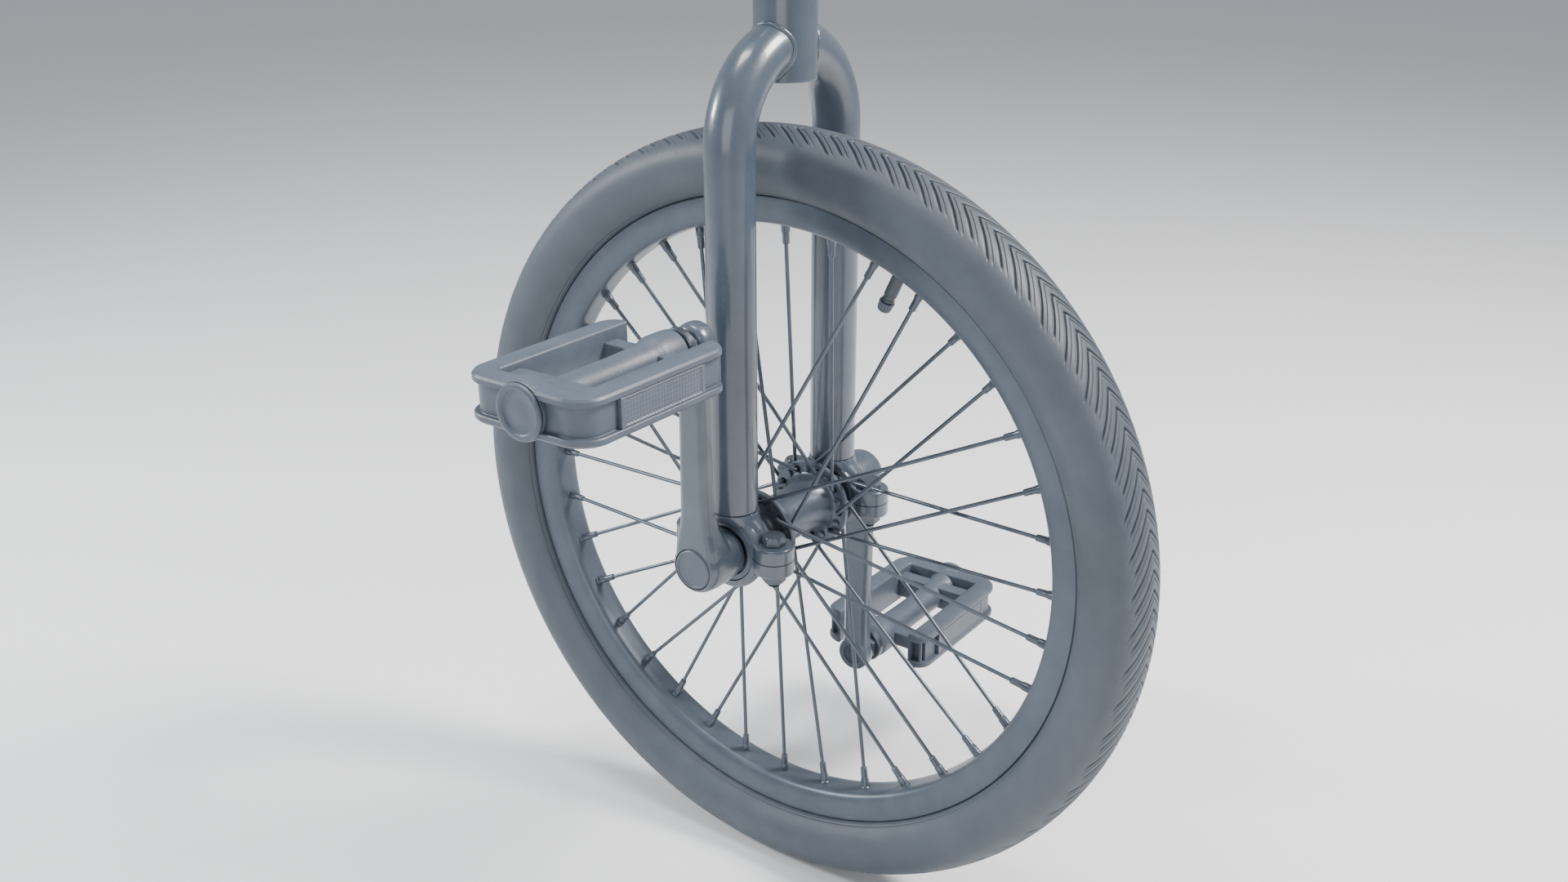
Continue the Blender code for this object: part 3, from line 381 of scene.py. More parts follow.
@dataclass(frozen=True)
class Vinyl(Finish):
    """Sewn vinyl with a leather grain."""

    def wear(self, shader: Shader, place: Value) -> Value:
        """Random tone, with painted shade that darkens the creases of the grain."""
        # Painted shade: 0 along the creases, where the darker colour is put, rising to 1 away from them.
        creases = shader.cells(place, 420, "DISTANCE_TO_EDGE").between(0.0, 0.18)
        return super().wear(shader, place) * 0.6 + creases * 0.4

    def relief(self, shader: Shader, place: Value) -> None:
        """Pebbles with creases between them, over a slower wrinkle.

        Args:
            shader: The material's nodes.
            place: Where the point lies on the object, in metres.
        """
        pebbles = shader.cells(place, 420, "DISTANCE_TO_EDGE").between(0.0, 0.25)
        wrinkle = shader.noise(place, 120, 4)
        shader.bumped(pebbles * 0.6 + wrinkle * 0.5, 0.00025, 0.8)


@dataclass(frozen=True)
class Woven(Finish):
    """Plain weave, for thread and tape."""

    def relief(self, shader: Shader, place: Value) -> None:
        """Threads that cross.

        Args:
            shader: The material's nodes.
            place: Where the point lies on the object, in metres.
        """
        inputs = {"Vector": place, "Scale": 700.0}
        threads = shader.node("ShaderNodeTexWave", {"bands_direction": "DIAGONAL"}, inputs)
        shader.bumped(threads + shader.noise(place, 2500, 2) * 0.4, 0.00015, 0.9)


FRAME_PAINT = Paint(
    "slate_gloss_paint", "frame_paint", (0.048, 0.064, 0.085), (0.068, 0.086, 0.111),
    (0.26, 0.38), coat=0.55,
)
CRANK_PAINT = Paint(
    "crank_gloss_paint", "crank_paint", (0.045, 0.060, 0.080), (0.065, 0.083, 0.106),
    (0.28, 0.42), coat=0.45,
)
TYRE_RUBBER = Rubber(
    "tyre_rubber", "tyre_rubber", (0.044, 0.056, 0.072), (0.075, 0.089, 0.107), (0.46, 0.62)
)
STEM_RUBBER = Rubber(
    "stem_rubber", "tube_rubber", (0.040, 0.050, 0.064), (0.060, 0.072, 0.087), (0.50, 0.66)
)
RIM_METAL = Turned(
    "rim_anodised", "rim_metal", (0.058, 0.074, 0.095), (0.083, 0.101, 0.125), (0.32, 0.46), metallic=0.35
)
HUB_METAL = Turned(
    "hub_turned", "hub_metal", (0.060, 0.076, 0.098), (0.087, 0.105, 0.129), (0.26, 0.40), metallic=0.45
)
AXLE_STEEL = Turned(
    "ground_steel", "axle_steel", (0.075, 0.090, 0.110), (0.115, 0.131, 0.152), (0.22, 0.36), metallic=0.7
)
SPOKE_STEEL = Drawn(
    "drawn_spoke_steel", "spoke_steel", (0.065, 0.081, 0.101), (0.100, 0.117, 0.140),
    (0.24, 0.38), metallic=0.6,
)
FASTENER_STEEL = Drawn(
    "plated_steel", "fastener_steel", (0.062, 0.078, 0.099), (0.098, 0.114, 0.136),
    (0.26, 0.42), metallic=0.55,
)
BEARING_STEEL = Turned(
    "bearing_steel", "bearing_steel", (0.100, 0.114, 0.131), (0.150, 0.165, 0.185),
    (0.16, 0.28), metallic=0.8,
)
PEDAL_PLASTIC = Moulded(
    "pedal_plastic", "pedal_plastic", (0.055, 0.070, 0.092), (0.077, 0.095, 0.120), (0.36, 0.50)
)
REFLECTOR_PLASTIC = Moulded(
    "reflector_plastic", "reflector_plastic", (0.060, 0.076, 0.099), (0.090, 0.108, 0.134),
    (0.30, 0.42), coat=0.15, grain=600.0,
)
# The darker colour of this vinyl is also painted shade in the creases of its grain.
SADDLE_VINYL = Vinyl(
    "saddle_vinyl", "saddle_leather", (0.035, 0.045, 0.059), (0.056, 0.069, 0.086), (0.42, 0.58)
)
SADDLE_THREAD = Woven(
    "saddle_thread", "saddle_leather", (0.065, 0.079, 0.098), (0.100, 0.115, 0.135), (0.70, 0.85)
)
SADDLE_SHELL = Moulded(
    "saddle_shell_plastic", "saddle_plastic", (0.041, 0.052, 0.068), (0.059, 0.073, 0.091), (0.40, 0.55)
)
POST_STEEL = Drawn(
    "polished_post", "post_steel", (0.085, 0.100, 0.120), (0.125, 0.141, 0.163), (0.18, 0.32), metallic=0.75
)
CLAMP_METAL = Drawn(
    "clamp_anodised", "clamp_metal", (0.058, 0.074, 0.095), (0.085, 0.103, 0.128),
    (0.28, 0.42), metallic=0.5,
)
TAPE_WEAVE = Woven(
    "rim_tape_weave", "tape_fabric", (0.090, 0.102, 0.117), (0.125, 0.139, 0.155), (0.80, 0.90)
)


# --- Making meshes -------------------------------------------------------------------------------------


def circle(radius: float, height: float, count: int) -> list[Vector]:
    """Points round a circle that lies across Z."""
    turns = [2 * math.pi * i / count for i in range(count)]
    return [Vector((radius * math.cos(t), radius * math.sin(t), height)) for t in turns]


def hexagon(radius: float, height: float, count: int = 48, rounding: float = 0.06) -> list[Vector]:
    """Points round a hexagon whose corners lie at this radius, slightly rounded.

    Args:
        radius: From the middle to a corner.
        height: Along Z.
        count: How many points, a multiple of 12.
        rounding: How much the corners are taken off.

    Returns:
        The points, in order.
    """
    ring = []
    for i in range(count):
        turn = 2 * math.pi * i / count
        flat = radius * math.cos(math.pi / 6)
        offset = (turn + math.pi / 6) % (math.pi / 3) - math.pi / 6
        reach = min(flat / math.cos(offset), radius - rounding)
        ring.append(Vector((reach * math.cos(turn), reach * math.sin(turn), height)))
    return ring


def arc(radius: float, start: float, end: float, steps: int, centre: tuple[float, float]) -> list[tuple]:
    """Points along an arc, with both of its ends."""
    turns = [start + (end - start) * i / steps for i in range(steps + 1)]
    return [(centre[0] + radius * math.cos(t), centre[1] + radius * math.sin(t)) for t in turns]


def smooth_through(points: Profile, steps: int) -> list[tuple[float, float]]:
    """A Catmull-Rom curve through the points.

    Args:
        points: The points, in order.
        steps: How many steps between one point and the next.

    Returns:
        The curve's points, with both of its ends.
    """
    padded = [points[0], *points, points[-1]]
    curve = []
    for a, b, c, d in zip(padded, padded[1:], padded[2:], padded[3:]):
        for step in range(steps):
            t = step / steps
            weights = (-t + 2 * t * t - t**3, 2 - 5 * t * t + 3 * t**3, t + 4 * t * t - 3 * t**3, t**3 - t * t)
            near = list(zip(weights, (a, b, c, d)))
            curve.append(tuple(sum(w * p[k] for w, p in near) / 2 for k in (0, 1)))
    return [*curve, tuple(points[-1])]


class Form:
    """A mesh that is being made, in millimetres."""

    def __init__(self, place: Matrix | None = None) -> None:
        """Starts an empty mesh.

        Args:
            place: Where the next shapes go.
        """
        self.mesh = bmesh.new()
        self.place = place or Matrix()

    def at(self, place: Matrix) -> "Form":
        """Moves where the next shapes go."""
        self.place = place
        return self

    def rings(self, rings: Sequence[Points], closed: bool = False) -> "Form":
        """Joins rings of points, of equal length, into one skin.

        Args:
            rings: The rings, in order.
            closed: True to join the last ring to the first, and False to cap both.

        Returns:
            The form.
        """
        rows = [[self.mesh.verts.new(self.place @ Vector(p)) for p in ring] for ring in rings]
        pairs = list(zip(rows, rows[1:]))
        if closed:
            pairs.append((rows[-1], rows[0]))
        else:
            self.mesh.faces.new(rows[0][::-1])
            self.mesh.faces.new(rows[-1])
        count = len(rows[0])
        for low, high in pairs:
            for i in range(count):
                j = (i + 1) % count
                self.mesh.faces.new((low[i], low[j], high[j], high[i]))
        return self

    def lathe(self, profile: Profile, segments: int = 96, closed: bool = False) -> "Form":
        """Turns (radius, height) points about Z. A closed profile makes a ring."""
        return self.rings([circle(radius, height, segments) for radius, height in profile], closed)

    def prism(self, outline: Profile, low: float, high: float) -> "Form":
        """Raises an outline from low to high along Z."""
        return self.rings([[Vector((x, y, z)) for x, y in outline] for z in (low, high)])

    def block(self, low: Sequence[float], high: Sequence[float]) -> "Form":
        """A box between two corners."""
        outline = [(low[0], low[1]), (high[0], low[1]), (high[0], high[1]), (low[0], high[1])]
        return self.prism(outline, low[2], high[2])

    def tube(self, path: Points, radii: Sequence[float] | float, sides: int = 24) -> "Form":
        """A round rod along a path. Each ring is carried on from the last, so that it doesn't twist.

        Args:
            path: The rod's middle line.
            radii: One radius, or one for each point.
            sides: How many points go round it.

        Returns:
            The form.
        """
        spans = [radii] * len(path) if isinstance(radii, (int, float)) else radii
        ahead = [(b - a).normalized() for a, b in zip(path, path[1:])]
        tangents = [ahead[0], *((a + b).normalized() for a, b in zip(ahead, ahead[1:])), ahead[-1]]
        across = tangents[0].orthogonal().normalized()
        rings = []
        for point, tangent, radius in zip(path, tangents, spans):
            across = (across - tangent * across.dot(tangent)).normalized()
            third = tangent.cross(across)
            turns = [2 * math.pi * i / sides for i in range(sides)]
            rings.append([point + radius * (across * math.cos(t) + third * math.sin(t)) for t in turns])
        return self.rings(rings)

    def bevel(self, width: float, segments: int = 3, angle: float = SHARP_EDGE) -> "Form":
        """Rounds every edge that is sharper than the angle.

        Args:
            width: The rounding's size.
            segments: How many steps it has.
            angle: The least angle of an edge that is rounded.

        Returns:
            The form.
        """
        bmesh.ops.recalc_face_normals(self.mesh, faces=self.mesh.faces)
        edges = [e for e in self.mesh.edges if len(e.link_faces) == 2 and e.calc_face_angle(0.0) > angle]
        settings = {"offset": width, "segments": segments, "profile": 0.5, "affect": "EDGES", "clamp_overlap": True}
        bmesh.ops.bevel(self.mesh, geom=edges, **settings)
        return self

    def modified(self, kind: str, **settings: object) -> "Form":
        """Applies one of Blender's modifiers.

        Args:
            kind: The modifier's type.
            settings: Its settings.

        Returns:
            The form.
        """
        holder = self.object("holder")
        modifier = holder.modifiers.new(kind.lower(), kind)
        for name, value in settings.items():
            setattr(modifier, name, value)
        evaluated = holder.evaluated_get(bpy.context.evaluated_depsgraph_get())
        self.mesh.clear()
        self.mesh.from_mesh(evaluated.to_mesh())
        evaluated.to_mesh_clear()
        bpy.data.objects.remove(holder)
        return self

    def combined(self, other: "Form", operation: str = "DIFFERENCE") -> "Form":
        """Cuts another form out of this one, or joins it on.

        Args:
            other: The other form.
            operation: DIFFERENCE to cut it out, or UNION to join it on.

        Returns:
            The form.
        """
        tool = other.object("tool")
        self.modified("BOOLEAN", object=tool, operation=operation, solver="EXACT")
        bpy.data.objects.remove(tool)
        return self

    def object(self, name: str) -> bpy.types.Object:
        """An object that holds this mesh as it is.

        Args:
            name: The object's name.

        Returns:
            The object.
        """
        bmesh.ops.recalc_face_normals(self.mesh, faces=self.mesh.faces)
        mesh = bpy.data.meshes.new(name)
        self.mesh.to_mesh(mesh)
        made = bpy.data.objects.new(name, mesh)
        bpy.context.scene.collection.objects.link(made)
        return made

    def piece(
        self, name: str, body: Body, finish: Finish, *replaced: str, lift: float = HUB_HEIGHT
    ) -> bpy.types.Object:
        """Finishes the mesh as a piece of the object.

        Args:
            name: The piece's name.
            body: The body that it rides on.
            finish: Its finish.
            replaced: The CAD nodes that it stands for.
            lift: How far the mesh's origin is above the ground, in millimetres.

        Returns:
            The piece.
        """
        move = Matrix.Scale(MM, 4) @ Matrix.Translation(UP * lift)
        bmesh.ops.transform(self.mesh, matrix=move, verts=self.mesh.verts)
        made = self.object(name)
        shade(made.data)
        made.data.materials.append(finish.material())
        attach(made, body.value)
        if replaced:
            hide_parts(*replaced)
        LOG.info("%s: %d faces on %s", name, len(made.data.polygons), body.value)
        return made


def shade(mesh: bpy.types.Mesh, angle: float = SHARP_EDGE) -> None:
    """Shades a mesh smooth, apart from the edges that are sharper than the angle.

    Args:
        mesh: The mesh.
        angle: The least angle of an edge that stays sharp.
    """
    editing = bmesh.new()
    editing.from_mesh(mesh)
    for face in editing.faces:
        face.smooth = True
    for edge in editing.edges:
        edge.smooth = len(edge.link_faces) != 2 or edge.calc_face_angle(0.0) < angle
    editing.to_mesh(mesh)
    editing.free()


def along(axis: str, x: float = 0.0, y: float = 0.0, z: float = 0.0) -> Matrix:
    """A place whose +Z points along an axis of the object, such as "X" or "-Y".

    Args:
        axis: The axis, with - before it to point the other way.
        x: The place along X.
        y: The place along Y.
        z: The place along Z.

    Returns:
        The place.
    """
    direction = {"X": Vector((1, 0, 0)), "Y": Vector((0, 1, 0)), "Z": UP}[axis[-1]]
    if axis.startswith("-"):
        direction = -direction
    return Matrix.Translation((x, y, z)) @ direction.to_track_quat("Z", "Y").to_matrix().to_4x4()


def hex_head(form: Form, radius: float, height: float) -> Form:
    """A hexagon head on the plane Z 0, with its corners turned off into a flat round top.

    Args:
        form: Where the head goes.
        radius: From the middle to a corner.
        height: How tall the head is.

    Returns:
        The form.
    """
    turned_off = [circle(0.84 * radius, height, 48), circle(0.60 * radius, height, 48)]
    skirt = [hexagon(radius, z) for z in (0.15, 0.3, 0.72 * height)]
    shoulder = hexagon(0.97 * radius, 0.88 * height, rounding=0.5)
    return form.rings([hexagon(radius - 0.3, 0.0), *skirt, shoulder, *turned_off])


def dress(node: str, finish: Finish, rounding: float = 0.0) -> None:
    """Gives a CAD node a finish.

    Args:
        node: The node's name.
        finish: Its finish.
        rounding: The radius of its rounded edges, in millimetres, or 0 to leave them.
    """
    part = bpy.data.objects[node]
    part.data.materials.clear()
    part.data.materials.append(finish.material())
    if rounding:
        edges = part.modifiers.new("rounded_edges", "BEVEL")
        edges.width = rounding * MM
        edges.segments = 3
        edges.angle_limit = SHARP_EDGE
        edges.harden_normals = False
    LOG.info("%s: CAD node in %s", node, finish.name)


def lerp(start: float, end: float, share: float) -> float:
    """The number at a share of the way from start to end."""
    return start + (end - start) * share


# --- The wheel -----------------------------------------------------------------------------------------


@dataclass(frozen=True)
class Tyre:
    """A 20-inch tyre with one row of chevron bars round its crown."""

    chevrons: int = 134
    groove: float = 1.5
    sweep: float = 1.2  # how far an arm falls back for each millimetre from the middle
    arm_ends: tuple[float, float] = (18.0, 20.5)
    arm_fade: float = 2.4
    apex_round: float = 0.7
    outside: Profile = (
        (0, 253.5), (6, 253.15), (12, 251.9), (18.2, 249.1), (22.6, 245.0), (25.2, 240.0), (26.1, 234.5),
        (25.8, 229.0), (24.4, 224.4), (22.2, 220.4), (19.6, 217.2), (17.4, 215.2), (16.6, 214.9), (15.6, 214.1),
        (14.0, 213.4), (12.0, 213.0), (11.1, 210.4), (11.0, 203.4),
    )  # fmt: skip
    inside: Profile = ((8.6, 203.4), (8.6, 214.3), (21.5, 227.5), (21.5, 240.0), (12.0, 246.6), (0.0, 248.7))
    pitch: Profile = (
        (0.00, 1.0), (0.20, 1.0), (0.38, 0.97), (0.44, 0.62), (0.48, 0.62), (0.54, 0.97), (0.66, 1.0), (0.73, 0.90),
        (0.79, 0.10), (0.88, 0.0), (0.95, 0.85),
    )  # fmt: skip

    def stations(self) -> list[tuple[float, Vector, Vector]]:
        """How far round the skin each row lies from the middle, its place (y, r), and the way out of it.

        Returns:
            The rows, from the middle of the crown to the bead.
        """
        curve = [Vector(p) for p in smooth_through(self.outside, 4)]
        lengths = [0.0]
        for a, b in zip(curve, curve[1:]):
            lengths.append(lengths[-1] + (b - a).length)
        short, long = self.arm_ends
        wanted = [0.0, 0.6, 1.6, 3.2, 5.0, 7.0, 9.0, 11.0, 13.0, 15.0]
        wanted += [short - 1.6, short - 0.5, short + 0.6, long - 0.6, long + 0.6, long + 2.0]
        wanted += [length for length in lengths if length > long + 3.0]
        rows = []
        for reach in wanted:
            i = max(k for k in range(len(lengths) - 1) if lengths[k] <= reach + 1e-6)
            share = (reach - lengths[i]) / (lengths[i + 1] - lengths[i])
            ahead = (curve[i + 1] - curve[i]).normalized()
            rows.append((reach, curve[i].lerp(curve[i + 1], share), Vector((-ahead.y, ahead.x))))
        return rows

    def relief(self, reach: float, height: float, chevron: int) -> float:
        """How deep the skin lies under the crown, at a distance from the middle.

        Args:
            reach: How far from the middle, along the skin.
            height: 0 in a groove and 1 on a bar.
            chevron: The bar's number.

        Returns:
            The depth.
        """
        end = self.arm_ends[chevron % 2]
        fading = (end + self.arm_fade / 3 - reach) / self.arm_fade
        return self.groove * (1 - height) * max(0.0, min(1.0, fading))

    def section(self, rows: list, chevron: int, share: float, height: float) -> list[Vector]:
        """The tyre's outline at one column of the tread, all the way round its casing.

        Args:
            rows: What stations gives.
            chevron: The bar's number.
            share: How far the column lies from one bar to the next.
            height: 0 in a groove and 1 on a bar.

        Returns:
            The outline's points, in order.
        """
        turn = 2 * math.pi * (chevron + share) / self.chevrons
        sides = []
        for sign in (1, -1):
            points = []
            for reach, place, outward in rows:
                sunk = place - outward * self.relief(reach, height, chevron)
                back = math.hypot(reach, self.apex_round) - self.apex_round
                swept = self.sweep * min(back, self.arm_ends[1])
                points.append((turn - swept / self.outside[0][1], sign * sunk.x, sunk.y))
            last = points[-1][0]
            points += [(last, sign * y, r) for y, r in self.inside]
            sides.append(points)
        loop = sides[0] + sides[1][1:-1][::-1]
        return [Vector((r * math.cos(t), y, r * math.sin(t))) for t, y, r in loop]

    def build(self) -> None:
        """Makes the tyre, and dresses the tube and the tape inside it."""
        rows = self.stations()
        columns = [(c, share, height) for c in range(self.chevrons) for share, height in self.pitch]
        loops = [self.section(rows, *column) for column in columns]
        form = Form().rings(loops, closed=True)
        form.piece("chevron_tyre", Body.WHEEL, TYRE_RUBBER, "tyre")
        dress("inner_tube", STEM_RUBBER)
        dress("rim_tape", TAPE_WEAVE)


@dataclass(frozen=True)
class Rim:
    """A box-edged alloy rim with rolled lips, and the valve that stands in it."""

    half: Profile = (
        (194.7, 3.0), (194.8, 7.0), (195.3, 8.8), (196.3, 10.2), (197.6, 11.1), (199.9, 12.1), (202.5, 12.8),
        (206.0, 13.3), (210.6, 13.6), (212.2, 13.6), (212.9, 13.1), (212.9, 12.1), (212.3, 11.6), (203.3, 11.55),
        (203.1, 9.0), (197.1, 8.0), (196.9, 3.0),
    )  # fmt: skip
    valve_turn: float = 65.0
    stem: Profile = (
        (1.2, 0.0), (3.6, 0.0), (3.9, 0.6), (3.9, 1.6), (3.5, 2.2), (3.5, 3.6), (4.0, 4.2), (4.0, 19.0), (4.5, 22.4),
        (5.4, 23.2),
    )  # fmt: skip
    stem_foot: float = 174.7
    cap_foot: float = 167.7
    cap_height: float = 6.7
    cap_flutes: int = 14

    def build(self) -> None:
        """Makes the rim and the valve."""
        outline = [*self.half, *[(radius, -y) for radius, y in reversed(self.half)]]
        turned = Form(Matrix.Rotation(math.pi / 2, 4, "X")).lathe(outline, 240, closed=True)
        turned.piece("box_rim", Body.WHEEL, RIM_METAL, "rim")
        turn = math.radians(self.valve_turn)
        inwards = Vector((math.cos(turn), 0, math.sin(turn)))
        base = inwards.to_track_quat("Z", "Y").to_matrix().to_4x4()
        stem = Form(Matrix.Translation(inwards * self.stem_foot) @ base).lathe(self.stem, 40)
        stem.piece("rubber_valve_stem", Body.WHEEL, STEM_RUBBER, "valve_stem")
        rings = []
        for height, radius, depth in self.cap_rings():
            ring = circle(radius, height, 8 * self.cap_flutes)
            for i, point in enumerate(ring):
                groove = depth * max(0.0, math.cos(2 * math.pi * i / 8)) ** 3
                ring[i] = Vector((point.x * (1 - groove / radius), point.y * (1 - groove / radius), height))
            rings.append(ring)
        cap = Form(Matrix.Translation(inwards * self.cap_foot) @ base).rings(rings)
        cap.piece("fluted_valve_cap", Body.WHEEL, PEDAL_PLASTIC, "valve_cap")

    def cap_rings(self) -> list[tuple[float, float, float]]:
        """The height, the radius and the depth of the flutes of each ring of the cap.

        Returns:
            The rings, from the cap's top to its open end.
        """
        top = self.cap_height
        return [
            (0.0, 2.6, 0.0), (0.25, 3.4, 0.0), (0.9, 4.0, 0.15), (1.4, 4.2, 0.45), (top - 1.4, 4.7, 0.5),
            (top - 1.0, 4.75, 0.2), (top - 0.8, 4.8, 0.0), (top - 0.1, 4.8, 0.0), (top, 4.5, 0.0),
        ]  # fmt: skip


@dataclass(frozen=True)
class Spokes:
    """Thirty-six crossed spokes with their nipples, laced to both of the hub's flanges."""

    count: int = 36
    radius: float = 1.3
    head: float = 2.3
    hole_circle: float = 23.5
    seat: float = 194.7
    outside_y: tuple[float, float] = (27.3, 34.9)  # the head and the elbow of a spoke that leaves outwards
    inside_y: tuple[float, float] = (32.7, 25.6)
    bend: float = 2.2
    nipple: Profile = (
        (1.6, 14.2), (2.2, 13.6), (2.3, 7.2), (2.35, 6.4), (2.7, 5.8), (2.85, 0.8), (3.3, 0.2), (3.3, -1.0),
    )  # fmt: skip

    def on_side(self, side: Side) -> list[int]:
        """The spokes that run to the flange on this side."""
        return [spoke for spoke in range(self.count) if (side is Side.LEFT) == (spoke % 4 in (0, 1))]

    def lacing(self, spoke: int, side: Side) -> float:
        """How far round from its nipple a spoke leaves the hub, in degrees.

        Args:
            spoke: The spoke's number.
            side: The side of its flange.

        Returns:
            The turn.
        """
        if side is Side.RIGHT:
            return 50.0 if spoke % 2 == 0 else -40.0
        return 45.0 if spoke % 2 == 0 else -45.0

    def path(self, spoke: int, side: Side) -> tuple[list[Vector], Vector, Vector]:
        """A spoke's middle line from its head, its nipple's seat, and the way from the seat to the hub.

        Args:
            spoke: The spoke's number.
            side: The side of its flange.

        Returns:
            The line's points, the seat and the direction.
        """
        rim_turn = math.radians(90 - 360 / self.count * spoke)
        hub_turn = rim_turn + math.radians(self.lacing(spoke, side))
        outside = spoke % 2 == 0
        head_y, elbow_y = self.outside_y if outside else self.inside_y
        radial = Vector((math.cos(hub_turn), 0, math.sin(hub_turn))) * self.hole_circle
        head = radial + Vector((0, side.value * head_y, 0))
        elbow = radial + Vector((0, side.value * elbow_y, 0))
        seat = Vector((math.cos(rim_turn), 0, math.sin(rim_turn))) * self.seat
        inwards = (elbow - seat).normalized()
        start = elbow + (head - elbow).normalized() * self.bend
        leaving = elbow - inwards * self.bend
        turned = []
        for step in range(7):
            t = step / 6
            turned.append(start * (1 - t) ** 2 + elbow * (2 * t * (1 - t)) + leaving * t * t)
        straight = [leaving.lerp(seat, share) for share in (0.02, 0.5, 0.985)]
        outwards = (elbow - head).normalized()
        cap = [head - outwards * 0.7, head - outwards * 0.3, head + outwards * 0.25, head + outwards * 0.9]
        return [*cap, *turned, *straight], seat, inwards

    def build(self) -> None:
        """Makes the spokes and the nipples of each side."""
        for side in Side:
            wires, nipples = Form(), Form()
            for spoke in self.on_side(side):
                points, seat, inwards = self.path(spoke, side)
                radii = [self.head * 0.6, self.head, self.head, self.radius, *[self.radius] * (len(points) - 4)]
                wires.tube(points, radii, 14)
                nipples.at(Matrix.Translation(seat) @ inwards.to_track_quat("Z", "Y").to_matrix().to_4x4())
                nipples.lathe(self.nipple, 16)
            wires.piece(f"laced_spokes_{side.word}", Body.WHEEL, SPOKE_STEEL, f"spokes_{side.word}")
            nipples.piece(f"spoke_nipples_{side.word}", Body.WHEEL, FASTENER_STEEL)


@dataclass(frozen=True)
class Hub:
    """A hub shell with two drilled flanges, on a square-ended axle."""

    half: Profile = (
        (8.8, 38.0), (13.2, 38.0), (13.7, 37.5), (14.4, 35.4), (15.6, 33.6), (17.2, 32.5), (19.2, 32.0), (27.9, 32.0),
        (28.6, 31.3), (28.6, 28.7), (27.9, 28.0), (21.6, 28.0), (20.2, 27.2), (18.9, 25.4), (17.9, 22.6), (17.0, 18.0),
        (16.5, 12.0), (16.4, 4.0),
    )  # fmt: skip
    hole: float = 2.3
    drilled: tuple[float, float] = (26.5, 33.5)  # how far out each flange is drilled

    def build(self) -> None:
        """Makes the shell, and dresses the axle."""
        outline = [*self.half, *[(radius, -y) for radius, y in reversed(self.half)]]
        upright = Matrix.Rotation(math.pi / 2, 4, "X")
        shell = Form(upright).lathe(outline, 144, closed=True)
        drills, spokes = Form(), Spokes()
        for side in Side:
            low, high = sorted(side.value * y for y in self.drilled)
            for spoke in spokes.on_side(side):
                turn = math.radians(90 - 360 / spokes.count * spoke + spokes.lacing(spoke, side))
                x, z = spokes.hole_circle * math.cos(turn), spokes.hole_circle * math.sin(turn)
                place = Matrix.Translation((x, 0, z)) @ Matrix.Rotation(-math.pi / 2, 4, "X")
                drills.at(place).lathe([(self.hole, low), (self.hole, high)], 20)
        shell.combined(drills)
        shell.piece("turned_hub_shell", Body.WHEEL, HUB_METAL, "hub_shell")
        dress("axle", AXLE_STEEL, 0.4)


# --- The fork ------------------------------------------------------------------------------------------


